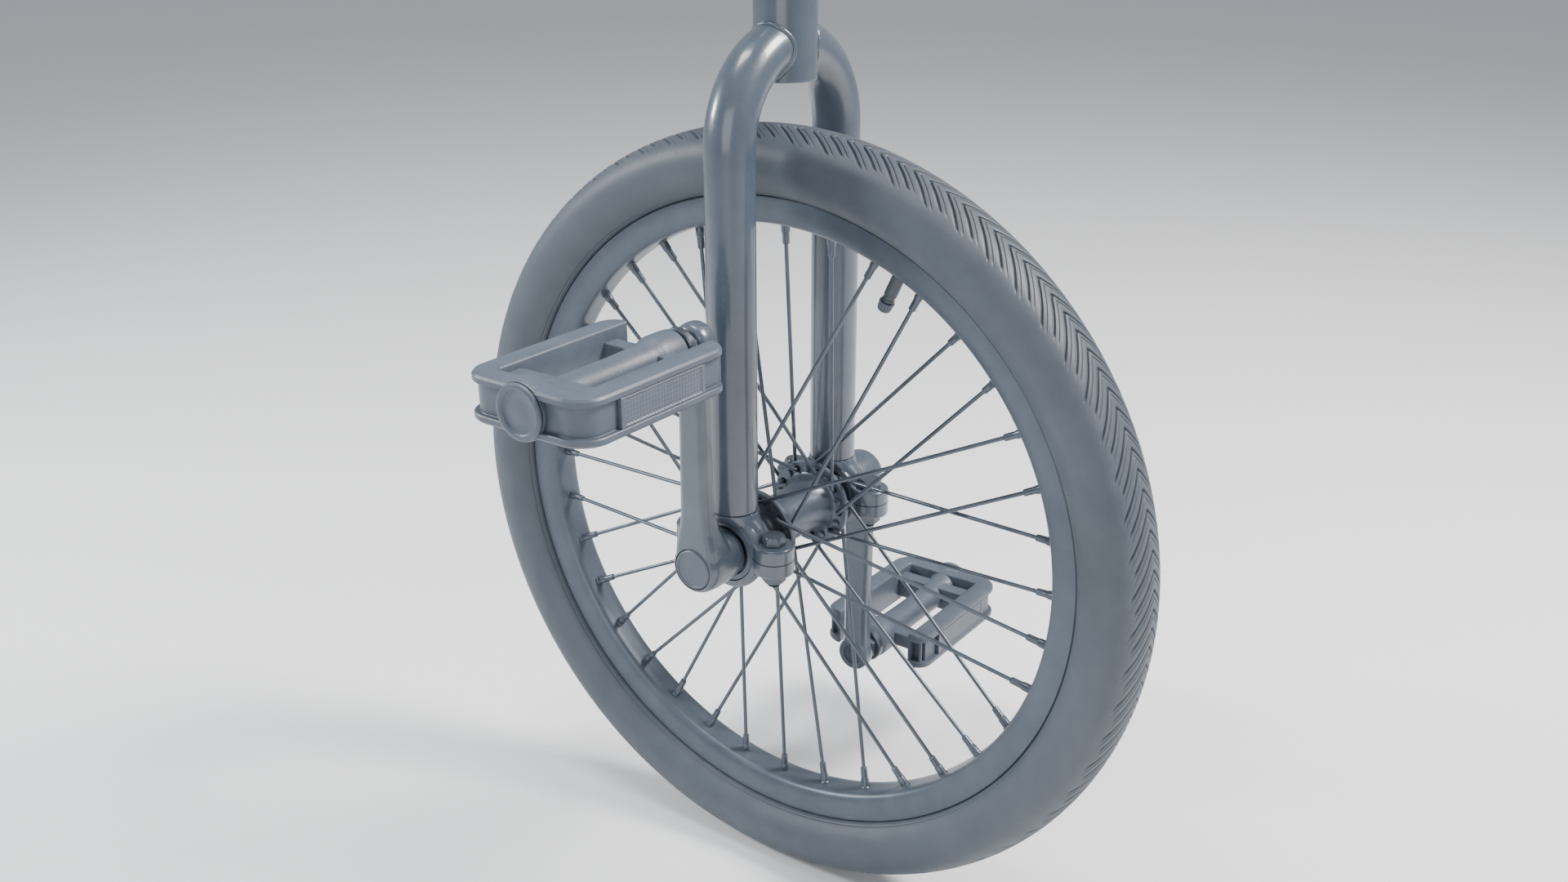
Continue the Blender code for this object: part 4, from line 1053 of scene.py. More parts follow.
@dataclass(frozen=True)
class BearingClamp:
    """A bearing in a cast clamp: a housing under the fork leg, and a cap that two bolts hold to it."""

    centre: float = 54.3
    half_width: float = 9.0
    ring: float = 24.3
    ridge: float = 25.6
    bore: float = 20.3
    ear_x: float = 30.4
    ear_radius: float = 12.6
    ear_height: float = 9.5
    ear_bore: float = 4.4
    web_inner: float = 17.0
    web_half: float = 8.6
    leg_seat: float = 26.0
    voxel: float = 0.55
    head: tuple[float, float] = (7.5, 5.6)  # a bolt head's radius over its corners, and its height
    shield: Profile = ((11.7, 4.9), (12.3, 5.4), (16.3, 5.4), (16.8, 4.9), (16.8, 4.6), (11.7, 4.6))
    seal: Profile = (
        (16.1, 7.2), (16.1, 8.5), (16.6, 9.0), (17.4, 9.0), (18.2, 8.6), (19.6, 8.6), (20.1, 8.2), (20.1, 6.3),
        (17.2, 6.3),
    )  # fmt: skip

    def casting(self, side: Side, up: int) -> Form:
        """One half of the clamp as it is cast, before it is split and bored.

        Args:
            side: Which side of the rider.
            up: 1 for the housing and -1 for the cap.

        Returns:
            The casting.
        """
        across = Matrix.Translation((0, side.value * self.centre, 0)) @ side.outward()
        width, ring, ridge = self.half_width, self.ring, self.ridge
        profile = [
            (0.5, -width), (ring - 1, -width), (ring, 1 - width), (ring, 2.6), (ridge, 3.4), (ridge, 6.4), (ring, 7.2),
            (ring - 0.4, width), (0.5, width),
        ]  # fmt: skip
        cast = Form(across).lathe(profile, 96)
        upright = Matrix.Translation((0, side.value * self.centre, 0)) @ Matrix.Scale(up, 4, UP)
        cast.at(upright)
        for x in (-self.ear_x, self.ear_x):
            ear = [(self.ear_radius - 0.6, -3.0), (self.ear_radius, -2.0), (self.ear_radius, self.ear_height - 1.2)]
            cast.at(upright @ Matrix.Translation((x, 0, 0)))
            cast.lathe([*ear, (self.ear_radius - 1.0, self.ear_height), (0.5, self.ear_height)], 48)
            low, high = sorted((math.copysign(self.web_inner, x), x))
            cast.at(upright).block((low, -self.web_half, -2.0), (high, self.web_half, self.ear_height - 1.2))
        if up > 0:
            self.socket(cast.at(upright))
        cast.modified("REMESH", mode="VOXEL", voxel_size=self.voxel)
        return cast.modified("SMOOTH", factor=0.5, iterations=3)

    def socket(self, cast: Form) -> None:
        """Flares from the ring up to the round foot of the fork leg.

        Args:
            cast: The casting that the flare is added to.
        """
        rings = []
        for height, x, y in (
            (5, 22.0, 8.6), (10, 23.6, 8.8), (14, 22.9, 9.2), (17, 21.2, 10.2), (20, 18.8, 12.2), (22.5, 16.8, 14.0),
            (24.5, 15.8, 15.1), (self.leg_seat, 15.5, 15.5),
        ):  # fmt: skip
            rings.append([Vector((x * p.x, y * p.y, height)) for p in circle(1.0, 0.0, 48)])
        cast.rings(rings)

    def build(self, side: Side) -> None:
        """Makes the two halves and their bolts, and dresses the bearing.

        Args:
            side: Which side of the rider.
        """
        across = Matrix.Translation((0, side.value * self.centre, 0)) @ side.outward()
        for up, name, node in ((1, "cast_housing", "bearing_housing"), (-1, "cast_cap", "bearing_cap")):
            half = self.casting(side, up)
            waste = Form(across).lathe([(self.bore, -12.0), (self.bore, 12.0)], 96)
            for x in (-self.ear_x, self.ear_x):
                waste.at(Matrix.Translation((x, side.value * self.centre, 0)))
                waste.lathe([(self.ear_bore, -13.0), (self.ear_bore, 13.0)], 32)
            half.combined(waste)
            low, high = (-30.0, GAP) if up > 0 else (-GAP, 30.0)
            half.combined(Form().block((-60, -90, low), (60, 90, high)))
            half.piece(f"{name}_{side.word}", Body.FRAME, FRAME_PAINT, f"{node}_{side.word}")
        for x, word in ((self.ear_x, "front"), (-self.ear_x, "rear")):
            self.bolt(side, x, word)
        for node in ("bearing_inner_race", "bearing_outer_race", "bearing_balls"):
            dress(f"{node}_{side.word}", BEARING_STEEL)
        shields = Form(across)
        for face in (-1, 1):
            shields.lathe([(radius, face * z) for radius, z in self.shield], 72, closed=True)
        shields.lathe(self.seal, 72, closed=True)
        shields.piece(f"bearing_shields_{side.word}", Body.FRAME, CLAMP_METAL)

    def bolt(self, side: Side, x: float, word: str) -> None:
        """Makes one hexagon bolt with its nut.

        Args:
            side: Which side of the rider.
            x: How far forward the bolt stands.
            word: Which of the two it is, front or rear.
        """
        place = Matrix.Translation((x, side.value * self.centre, self.ear_height + GAP))
        head = hex_head(Form(place), *self.head)
        turned = Matrix.Rotation(math.pi, 4, "X")
        thread = [(3.8, -1.0), (3.8, 19.4)]
        for turn in range(9):
            base = 19.7 + turn
            thread += [(3.35, base), (3.8, base + 0.45)]
        head.at(place @ turned).lathe([*thread, (3.3, 28.2), (2.6, 28.7)], 32)
        head.piece(f"hex_bolt_{word}_{side.word}", Body.FRAME, FASTENER_STEEL, f"clamp_bolt_{word}_{side.word}")
        nut_place = Matrix.Translation((x, side.value * self.centre, -self.ear_height - GAP)) @ turned
        outline = [hexagon(6.7, 0.0), hexagon(7.5, 0.4), hexagon(7.5, 5.2), hexagon(7.0, 6.0, rounding=0.9)]
        bore = [circle(5.0, 6.2, 48), circle(4.4, 5.6, 48), circle(4.4, 0.4, 48), circle(4.8, 0.0, 48)]
        nut = Form(nut_place).rings([*outline, *bore], closed=True)
        nut.piece(f"hex_nut_{word}_{side.word}", Body.FRAME, FASTENER_STEEL, f"clamp_nut_{word}_{side.word}")


@dataclass(frozen=True)
class Fork:
    """Two bent legs welded to a seat tube, with a clamped bearing under each."""

    leg: float = 15.0
    leg_offset: float = 54.3
    leg_foot: float = 26.3
    foot_round: float = 0.4
    bend_start: float = 246.0
    bend_radius: float = 54.5
    bend_end: float = 75.0
    leg_end: float = 82.0
    tube: float = 18.85
    tube_bore: float = 16.15
    tube_low: float = 280.0
    tube_high: float = 400.0
    slot_half: float = 1.5
    slot_low: float = 368.0
    weld: float = 1.5
    weld_ripple: float = 0.05
    weld_steps: int = 180

    def middle(self, travel: float) -> tuple[Vector, Vector]:
        """A point of the left leg's middle line past the start of its bend, and the way out of the bend there.

        Args:
            travel: The turn of the bend in radians. Past the bend's end it runs on straight.

        Returns:
            The point, and the direction.
        """
        turn = min(travel, math.radians(self.bend_end))
        outward = Vector((0, math.cos(turn), math.sin(turn)))
        place = Vector((0, self.leg_offset - self.bend_radius, self.bend_start)) + outward * self.bend_radius
        ahead = Vector((0, -math.sin(turn), math.cos(turn)))
        return place + ahead * (travel - turn) * self.bend_radius, outward

    def seam(self, turn: float) -> Vector:
        """Where the left leg's skin meets the seat tube, at a turn round the leg.

        Args:
            turn: The turn, in radians.

        Returns:
            The point.
        """
        travel = math.radians(30)
        while True:
            place, outward = self.middle(travel)
            point = place + self.leg * (Vector((1, 0, 0)) * math.cos(turn) + outward * math.sin(turn))
            if math.hypot(point.x, point.y) <= self.tube + 0.1 or travel > 2:
                return point
            travel += 0.002

    def build_leg(self, side: Side) -> None:
        """Makes one leg, with the bead that welds it to the seat tube.

        Args:
            side: The leg's side.
        """
        mirror = Matrix.Scale(side.value, 4, Vector((0, 1, 0)))
        straight = [Vector((0, self.leg_offset, lerp(self.leg_foot, self.bend_start, k / 8))) for k in range(8)]
        bent = [self.middle(math.radians(self.bend_end) * k / 30)[0] for k in range(31)]
        foot = [straight[0], straight[0] + UP * self.foot_round]
        path = [*foot, *straight[1:], *bent, self.middle(math.radians(self.leg_end))[0]]
        radii = [self.leg - self.foot_round, *[self.leg] * (len(path) - 1)]
        leg = Form(mirror).tube(path, radii, 64)
        leg.combined(Form().lathe([(self.tube + GAP, 200.0), (self.tube + GAP, 420.0)], 96))
        leg.piece(f"bent_leg_{side.word}", Body.FRAME, FRAME_PAINT, f"fork_leg_{side.word}")
        self.build_weld(side, mirror)

    def build_weld(self, side: Side, mirror: Matrix) -> None:
        """Makes the rippled bead where a leg meets the seat tube.

        Args:
            side: The leg's side.
            mirror: Turns the left leg's shape into this one's.
        """
        steps = self.weld_steps
        curve = [self.seam(2 * math.pi * k / steps) for k in range(steps)]
        rings = []
        for k, point in enumerate(curve):
            ahead = (curve[(k + 1) % steps] - curve[k - 1]).normalized()
            out = Vector((point.x, point.y, 0)).normalized()
            third = ahead.cross(out).normalized()
            out = third.cross(ahead)
            size = self.weld + self.weld_ripple * math.sin(k * 2 * math.pi / 4.5)
            turns = [2 * math.pi * i / 12 for i in range(12)]
            rings.append([point + size * (out * math.cos(t) + third * math.sin(t)) for t in turns])
        bead = Form(mirror).rings(rings, closed=True)
        bead.piece(f"crown_weld_{side.word}", Body.FRAME, FRAME_PAINT)

    def build(self) -> None:
        """Makes the legs, the seat tube and the clamps."""
        for side in Side:
            self.build_leg(side)
            BearingClamp().build(side)
        inner, outer, low, high = self.tube_bore, self.tube, self.tube_low, self.tube_high
        outline = [
            (inner + 0.5, low), (outer - 0.6, low), (outer - 0.15, low + 0.2), (outer, low + 0.7),
            *[(outer, lerp(low + 1, high - 1, k / 8)) for k in range(9)],
            (outer - 0.15, high - 0.2), (outer - 0.6, high), (inner + 0.5, high), (inner, high - 0.5),
            (inner, low + 0.5),
        ]  # fmt: skip
        tube = Form().lathe(outline, 128, closed=True)
        slot = Form().block((-30, -self.slot_half, self.slot_low), (-8, self.slot_half, 410))
        end = Form(along("X", -30.0, 0.0, self.slot_low)).lathe([(2.6, 0.0), (2.6, 22.0)], 40)
        tube.combined(slot).combined(end)
        tube.piece("slotted_seat_tube", Body.FRAME, FRAME_PAINT, "seat_tube")


# --- Cranks and pedals ---------------------------------------------------------------------------------


@dataclass(frozen=True)
class Crank:
    """A forged crank with a domed boss round a dust cap, and a domed eye for the pedal's spindle."""

    length: float = 142.5
    boss: Profile = (
        (0.5, 63.5), (14.6, 63.5), (15.5, 64.3), (16.0, 68.0), (16.8, 72.0), (17.1, 78.0), (17.0, 87.0), (16.5, 91.4),
        (15.6, 94.4), (14.3, 96.0), (12.0, 96.6), (0.5, 96.6),
    )  # fmt: skip
    eye: Profile = (
        (0.5, 84.0), (11.4, 84.0), (12.2, 84.8), (12.3, 90.5), (11.6, 93.6), (9.6, 95.7), (6.5, 96.6), (0.5, 96.8),
    )  # fmt: skip
    waist: tuple = (
        (0.0, 15.5, 70.0, 96.0), (14.0, 14.2, 76.5, 96.0), (24.0, 11.9, 81.0, 95.8), (34.0, 10.5, 83.0, 95.8),
        (50.0, 10.1, 84.0, 96.0), (90.0, 9.7, 84.3, 96.0), (118.0, 9.4, 84.3, 96.0), (132.0, 9.8, 84.0, 96.0),
        (142.5, 10.5, 84.0, 95.4),
    )  # fmt: skip
    recess: float = 13.3
    recess_floor: float = 86.4
    taper_half: float = 5.2
    eye_bore: float = 7.3
    voxel: float = 0.7
    bolt: tuple[float, float] = (7.5, 3.6)
    dust_cap: Profile = (
        (12.4, 91.4), (12.9, 91.8), (12.9, 95.6), (12.5, 96.4), (11.7, 96.9), (10.9, 96.8), (10.5, 96.4), (9.0, 96.3),
        (4.0, 96.5),
    )  # fmt: skip

    def build(self, side: Side) -> None:
        """Makes the crank, its bolt and its dust cap.

        Args:
            side: Which side of the rider.
        """
        out = side.outward()
        forging = Form(out).lathe(self.boss, 72)
        forging.at(out @ Matrix.Translation((0, self.length, 0))).lathe(self.eye, 56)
        rings = []
        for along_arm, half, low, high in self.waist:
            corner = [(half, low + 3), (half, high - 3.2), (half - 1.1, high - 1.2), (half - 3.6, high)]
            ring = [*corner, *[(-x, z) for x, z in reversed(corner)]]
            ring += [(-half + 3, low), (half - 3, low)]
            rings.append([Vector((x, along_arm, z)) for x, z in ring])
        forging.at(out).rings(rings)
        forging.modified("REMESH", mode="VOXEL", voxel_size=self.voxel)
        forging.modified("SMOOTH", factor=0.5, iterations=10)
        cut = Form(out).lathe([(self.recess, self.recess_floor), (self.recess, 110.0)], 72)
        flat = self.taper_half
        cut.block((-flat, -flat, 40.0), (flat, flat, self.recess_floor + 1))
        cut.at(out @ Matrix.Translation((0, self.length, 0)))
        cut.lathe([(self.eye_bore, 60.0), (self.eye_bore, 110.0)], 48)
        forging.combined(cut)
        forging.piece(f"forged_crank_{side.word}", Body.WHEEL, CRANK_PAINT, f"crank_{side.word}")
        bolt = hex_head(Form(out @ Matrix.Translation((0, 0, self.recess_floor + GAP))), *self.bolt)
        bolt.piece(f"crank_hex_bolt_{side.word}", Body.WHEEL, FASTENER_STEEL, f"crank_bolt_{side.word}")
        cap = Form(out).lathe(self.dust_cap, 72)
        cap.piece(f"round_dust_cap_{side.word}", Body.WHEEL, PEDAL_PLASTIC, f"crank_dust_cap_{side.word}")


@dataclass(frozen=True)
class Pedal:
    """A cage pedal: a grooved rail bent round a barrel, with a reflector in each long side and a dished cap."""

    axis: float = 142.5
    half_width: float = 44.0
    inner: float = 113.3
    outer: float = 228.8
    half_height: float = 13.5
    rail: float = 14.5
    corner: float = 17.0
    end_rounding: float = 10.0
    flange: float = 5.0
    groove: float = 3.0
    barrel: Profile = (
        (6.4, 107.5), (10.4, 107.5), (11.2, 108.2), (13.0, 110.3), (13.2, 113.0), (13.2, 125.0), (12.6, 128.0),
        (11.0, 131.8), (10.4, 135.0), (9.9, 160.0), (9.9, 196.0), (10.6, 205.0), (12.2, 214.0), (13.6, 219.0),
        (15.6, 221.4), (16.2, 222.6), (16.2, 227.6), (15.8, 228.4), (6.4, 228.4),
    )  # fmt: skip
    reflector: tuple = (134.4, 201.5, 8.2, 41.3, 43.8)
    arms: tuple = ((122.3, 133.3, 5.5), (196.8, 207.8, 9.0))  # from, to and half height of each cross arm
    arm_half: float = 36.75
    bore: float = 6.6
    pin: float = 1.3
    pin_place: tuple[float, float] = (5.6, 116.4)  # in from the side, and out from the hub
    cap: Profile = (
        (9.6, 221.2), (9.6, 228.9), (15.4, 229.0), (15.7, 229.6), (15.2, 230.6), (14.2, 231.1), (12.8, 231.1),
        (11.9, 230.6), (11.4, 229.8), (10.4, 229.4), (6.0, 229.6), (2.0, 229.8),
    )  # fmt: skip
    shaft: Profile = ((7.0, 84.5), (7.0, 96.9), (6.2, 106.4), (5.8, 118.0), (4.9, 215.8), (4.3, 218.6))
    prisms: tuple[int, int] = (26, 6)
    prism_margin: tuple[float, float] = (2.2, 1.0)  # at the ends, and along the edges

    def rail_line(self) -> list[tuple[Vector, Vector, float]]:
        """The rail's inner face in plan: each point (x, out), the way out of it, and how far from an end it is.

        Returns:
            The points, from one open end round to the other.
        """
        inside = self.half_width - self.rail
        turn = self.corner - self.rail
        points = []
        straight = self.outer - self.corner - self.inner
        steps = [0.0, 0.15, 0.5, 1.1, 2.0, 3.2, 4.6, 6.2, 8.0, 10.0]
        for reach in [*steps, 20.0, 35.0, 50.0, 65.0, 80.0, straight]:
            points.append((Vector((inside, self.inner + reach)), Vector((1, 0)), reach))
        for k in range(1, 15):
            angle = math.pi / 2 * k / 14
            outward = Vector((math.cos(angle), math.sin(angle)))
            centre = Vector((inside - turn, self.outer - self.corner))
            points.append((centre + outward * turn, outward, 99.0))
        middle = [(Vector((0, self.outer - self.rail)), Vector((0, 1)), 99.0)]
        mirrored = [(Vector((-p.x, p.y)), Vector((-o.x, o.y)), reach) for p, o, reach in reversed(points)]
        return [*points, *middle, *mirrored]

    def cage(self, place: Matrix) -> Form:
        """The grooved rail, swept round three sides.

        Args:
            place: Where the pedal is.

        Returns:
            The rail.
        """
        rings = []
        for point, outward, reach in self.rail_line():
            taken = 0.0
            if reach < self.end_rounding:
                left = 1 - reach / self.end_rounding
                taken = self.end_rounding * (1 - math.sqrt(max(0.0, 1 - left * left)))
            deep = self.rail - taken
            web = min(self.rail - self.groove, deep - 1.0)
            top, lip = self.half_height, self.half_height - self.flange
            half = [
                (0.0, 0.0), (0.0, top - 1.6), (0.5, top - 0.7), (1.7, top), (deep - 3.0, top), (deep - 1.1, top - 0.6),
                (deep, top - 1.9), (deep, lip + 0.6), (deep - 0.5, lip), (web + 0.2, lip - 0.1), (web, lip - 0.4),
                (web, 0.0),
            ]  # fmt: skip
            loop = [*half, *[(d, -h) for d, h in reversed(half[1:-1])]]
            rings.append([Vector((*(point + outward * d), h)) for d, h in loop])
        flat = Matrix(((1, 0, 0, 0), (0, 0, 1, 0), (0, 1, 0, 0), (0, 0, 0, 1)))
        return Form(place @ flat).rings(rings)

    def build(self, side: Side) -> None:
        """Makes the pedal's body, its reflectors, its cap and its spindle.

        Args:
            side: Which side of the rider.
        """
        out = side.outward() @ Matrix.Translation((0, self.axis, 0))
        body = Body.PEDAL_RIGHT if side is Side.RIGHT else Body.PEDAL_LEFT
        cage = self.cage(out)
        ends = Form(out)
        for sign in (-1, 1):
            low, high = sorted((sign * (self.half_width - 12.2), sign * (self.half_width + 2)))
            ends.block((low, -7.6, 108.0), (high, 7.6, 119.0))
        cage.combined(ends)
        posts = Form(out)
        for sign in (-1, 1):
            x = sign * (self.half_width - self.pin_place[0])
            posts.at(out @ Matrix.Translation((x, 0, self.pin_place[1])) @ along("Y"))
            posts.lathe([(self.pin, -9.0), (self.pin, 9.0)], 20)
        cage.combined(posts, "UNION")
        core = Form(out).lathe(self.barrel, 72)
        arms = Form(out)
        for low, high, half in self.arms:
            arms.block((-self.arm_half, -half, low), (self.arm_half, half, high))
        arms.bevel(1.2)
        cage.combined(core, "UNION").combined(arms, "UNION")
        cage.combined(Form(out).lathe([(self.bore, 100.0), (self.bore, 219.0)], 48))
        cage.piece(f"pedal_cage_{side.word}", body, PEDAL_PLASTIC, f"pedal_body_{side.word}")
        for sign, word in ((1, "front"), (-1, "rear")):
            self.build_reflector(out, sign, word, side, body)
        cap = Form(out).lathe(self.cap, 72)
        cap.piece(f"dished_end_cap_{side.word}", body, PEDAL_PLASTIC, f"pedal_end_cap_{side.word}")
        shaft = Form(out).lathe(self.shaft, 48)
        collar = [hexagon(9.4, 97.3), hexagon(10.2, 97.9), hexagon(10.2, 101.6), circle(11.6, 101.8, 48)]
        collar += [circle(12.5, 102.5, 48), circle(12.5, 106.2, 48), circle(11.8, 106.8, 48)]
        shaft.rings([circle(7.6, 97.1, 48), *collar, circle(7.4, 107.0, 48)])
        shaft.piece(f"pedal_axle_{side.word}", Body.WHEEL, AXLE_STEEL, f"pedal_spindle_{side.word}")

    def build_reflector(self, out: Matrix, sign: int, word: str, side: Side, body: Body) -> None:
        """Makes one reflector: a flat frame round rows of small raised prisms.

        Args:
            out: Where the pedal is.
            sign: 1 in front and -1 behind.
            word: The same, front or rear.
            side: Which side of the rider.
            body: The pedal's body.
        """
        low, high, half, back, face = self.reflector
        columns, rows = self.prisms
        ends, edge = self.prism_margin
        steps_out = [low, low + 0.3, low + ends - 0.3, low + ends]
        cell = (high - low - 2 * ends) / columns
        steps_out += [low + ends + cell * k / 4 for k in range(1, 4 * columns)]
        steps_out += [high - ends, high - ends + 0.3, high - 0.3, high]
        tall = (2 * half - 2 * edge) / rows
        steps_up = [-half, -half + 0.3, -half + edge - 0.2, -half + edge]
        steps_up += [-half + edge + tall * k / 4 for k in range(1, 4 * rows)]
        steps_up += [half - edge, half - edge + 0.2, half - 0.3, half]
        loops = []
        for o in steps_out:
            loop = []
            for h in steps_up:
                loop.append(Vector((sign * (face - self.prism_depth(o, h, cell, tall)), h, o)))
            loop += [Vector((sign * back, h, o)) for h in reversed(steps_up)]
            loops.append(loop)
        lens = Form(out).rings(loops)
        name = f"reflector_{word}_{side.word}"
        lens.piece(f"prism_{name}", body, REFLECTOR_PLASTIC, name)

    def prism_depth(self, out: float, height: float, cell: float, tall: float) -> float:
        """How far the reflector's face lies behind its frame.

        Args:
            out: How far out from the hub.
            height: Above the reflector's middle.
            cell: A prism's length.
            tall: A prism's height.

        Returns:
            The depth.
        """
        low, high, half, _, _ = self.reflector
        ends, edge = self.prism_margin
        if not (low + ends < out < high - ends and abs(height) < half - edge):
            return 0.0 if low + 0.2 < out < high - 0.2 and abs(height) < half - 0.2 else 0.3
        across = abs(math.sin(math.pi * (out - low - ends) / cell))
        up = abs(math.sin(math.pi * (height + half - edge) / tall))
        return 0.75 - 0.40 * min(across, up)


# --- The seat ------------------------------------------------------------------------------------------


@dataclass(frozen=True)
class SeatClamp:
    """A split collar round the seat tube's slot, closed by a skewer with a swinging lever."""

    height: float = 392.0
    bore: float = 19.15
    ring: float = 23.5
    half: float = 10.0
    split: float = 1.25
    bolt_x: float = -29.5
    bolt_hole: float = 2.8
    pivot_y: float = -16.6
    voxel: float = 0.5
    lever_voxel: float = 0.4
    arm: Profile = ((2, -4.5), (8, -7.2), (14, -9.0), (22, -10.6), (32, -11.5), (42, -11.6), (52, -10.5))

    def build(self) -> None:
        """Makes the collar, its skewer, its nut and its lever."""
        place = Matrix.Translation((0, 0, self.height))
        ring, half = self.ring, self.half
        profile = [
            (16.0, -half), (ring - 1.2, -half), (ring, 1.2 - half), (ring, 3.2 - half), (ring - 0.7, 4.0 - half),
            (ring - 0.7, half - 4.0), (ring, half - 3.2), (ring, half - 1.2), (ring - 1.2, half), (16.0, half),
        ]  # fmt: skip
        collar = Form(place).lathe(profile, 96, closed=True)
        collar.block((-34.6, -8.8, -8.6), (-18.0, 8.8, 8.6))
        collar.modified("REMESH", mode="VOXEL", voxel_size=self.voxel).modified("SMOOTH", factor=0.5, iterations=5)
        cut = Form(place).lathe([(self.bore, -20.0), (self.bore, 20.0)], 96)
        collar.combined(cut).combined(Form(place).block((-60, -self.split, -20), (-10, self.split, 20)))
        hole = [(self.bolt_hole, -30.0), (self.bolt_hole, 30.0)]
        collar.combined(Form(place @ along("Y", self.bolt_x)).lathe(hole, 32))
        collar.piece("split_seat_collar", Body.FRAME, CLAMP_METAL, "seat_clamp_collar")
        self.build_skewer(place)
        self.build_lever(place)

    def build_skewer(self, place: Matrix) -> None:
        """Makes the skewer with its eye, the nut and the pin.

        Args:
            place: The collar's middle.
        """
        nut = hex_head(Form(place @ along("Y", self.bolt_x, 9.3)), 7.0, 7.0)
        nut.piece("skewer_hex_nut", Body.FRAME, FASTENER_STEEL, "seat_clamp_nut")
        rod = Form(place @ along("Y", self.bolt_x, self.pivot_y)).lathe([(2.5, 3.4), (2.5, 35.6), (2.0, 36.6)], 32)
        eye = [(2.2, -2.4), (3.7, -2.4), (4.2, -1.9), (4.2, 1.9), (3.7, 2.4), (2.2, 2.4)]
        rod.at(place @ Matrix.Translation((self.bolt_x, self.pivot_y, 0))).lathe(eye, 40, closed=True)
        rod.piece("eye_skewer", Body.FRAME, FASTENER_STEEL, "seat_clamp_skewer")
        pin = Form(place @ Matrix.Translation((self.bolt_x, self.pivot_y, 0)))
        pin.lathe([(1.5, -6.9), (2.0, -6.4), (2.0, 6.4), (1.5, 6.9)], 32)
        pin.piece("lever_pin", Body.FRAME, FASTENER_STEEL, "seat_clamp_pin")

    def build_lever(self, place: Matrix) -> None:
        """Makes the lever, with its forked cam at the pin and its curved arm.

        Args:
            place: The collar's middle.
        """
        pivot = place @ Matrix.Translation((self.bolt_x, self.pivot_y, 0))
        lever = Form(pivot).lathe([(5.9, -6.3), (6.5, -5.8), (6.5, 5.8), (5.9, 6.3)], 56)
        rings = []
        curve = smooth_through(self.arm, 6)
        for i, point in enumerate(curve):
            before, after = curve[max(0, i - 1)], curve[min(len(curve) - 1, i + 1)]
            ahead = Vector((after[0] - before[0], after[1] - before[1], 0)).normalized()
            side = Vector((-ahead.y, ahead.x, 0))
            share = i / (len(curve) - 1)
            tip = max(0.0, share - 0.9) / 0.1
            tall = lerp(5.2, 6.0, share) * math.sqrt(max(0.05, 1 - tip**2))
            ring = []
            for k in range(24):
                turn = 2 * math.pi * k / 24
                out = math.copysign(abs(math.cos(turn)) ** 0.6, math.cos(turn)) * 1.9
                up = math.copysign(abs(math.sin(turn)) ** 0.6, math.sin(turn)) * tall
                ring.append(Vector((*point, 0)) + side * out + UP * up)
            rings.append(ring)
        lever.rings(rings).modified("REMESH", mode="VOXEL", voxel_size=self.lever_voxel)
        lever.modified("SMOOTH", factor=0.5, iterations=4)
        fork = Form(pivot).lathe([(6.9, -2.9), (6.9, 2.9)], 48)
        hole = Form(pivot).lathe([(2.3, -10.0), (2.3, 10.0)], 32)
        lever.combined(fork).combined(hole)
        lever.piece("quick_release_lever", Body.LEVER, CLAMP_METAL, "seat_clamp_lever")


@dataclass(frozen=True)
class SeatPost:
    """A round post with a plate welded on its top, and the two bolts that hold the saddle to it."""

    outer: float = 15.8
    inner: float = 13.3
    low: float = 325.0
    plate_low: float = 478.0
    plate_high: float = 482.0
    plate_length: float = 96.0
    plate_width: float = 38.0
    corner: float = 8.0
    hole_x: float = 34.0
    hole: float = 3.4
    marks: int = 5
    mark_low: float = 400.0
    mark_step: float = 12.0

    def build(self) -> None:
        """Makes the post and its bolts."""
        outer, inner, low, top = self.outer, self.inner, self.low, self.plate_low
        outline = [(inner, low), (outer - 0.6, low), (outer, low + 0.6)]
        for mark in range(self.marks):
            base = self.mark_low + self.mark_step * mark
            cut = outer - 0.18
            outline += [(outer, base), (cut, base + 0.15), (cut, base + 0.45), (outer, base + 0.6)]
        outline += [(outer, top - 6.0), (outer + 0.5, top - 3.5), (outer + 1.6, top - 1.6), (outer + 3.4, top - 0.3)]
        outline += [(outer + 3.4, top + 1.0), (inner, top + 1.0)]
        post = Form().lathe(outline, 96, closed=True)
        corner = self.corner
        x, y = self.plate_length / 2 - corner, self.plate_width / 2 - corner
        edge = []
        for cx, cy, start in ((x, y, 0.0), (-x, y, 0.5), (-x, -y, 1.0), (x, -y, 1.5)):
            edge += arc(corner, start * math.pi, (start + 0.5) * math.pi, 8, (cx, cy))
        plate = Form().prism(edge, self.plate_low, self.plate_high).bevel(0.7)
        holes = Form().lathe([(inner, top - 2), (inner, top + 2.0)], 96)
        for x in (-self.hole_x, self.hole_x):
            holes.at(Matrix.Translation((x, 0, 0))).lathe([(self.hole, top - 2), (self.hole, top + 6)], 32)
        plate.combined(holes)
        post.combined(plate, "UNION")
        post.piece("plated_seat_post", Body.SEAT, POST_STEEL, "seat_post")
        for x, word in ((self.hole_x, "front"), (-self.hole_x, "rear")):
            seat = Matrix.Translation((x, 0, self.plate_low - GAP)) @ Matrix.Rotation(math.pi, 4, "X")
            bolt = hex_head(Form(seat), 5.8, 4.0)
            bolt.at(seat).lathe([(3.0, -8.3), (3.0, 0.5)], 32)
            bolt.piece(f"saddle_hex_bolt_{word}", Body.SEAT, FASTENER_STEEL, f"saddle_bolt_{word}")


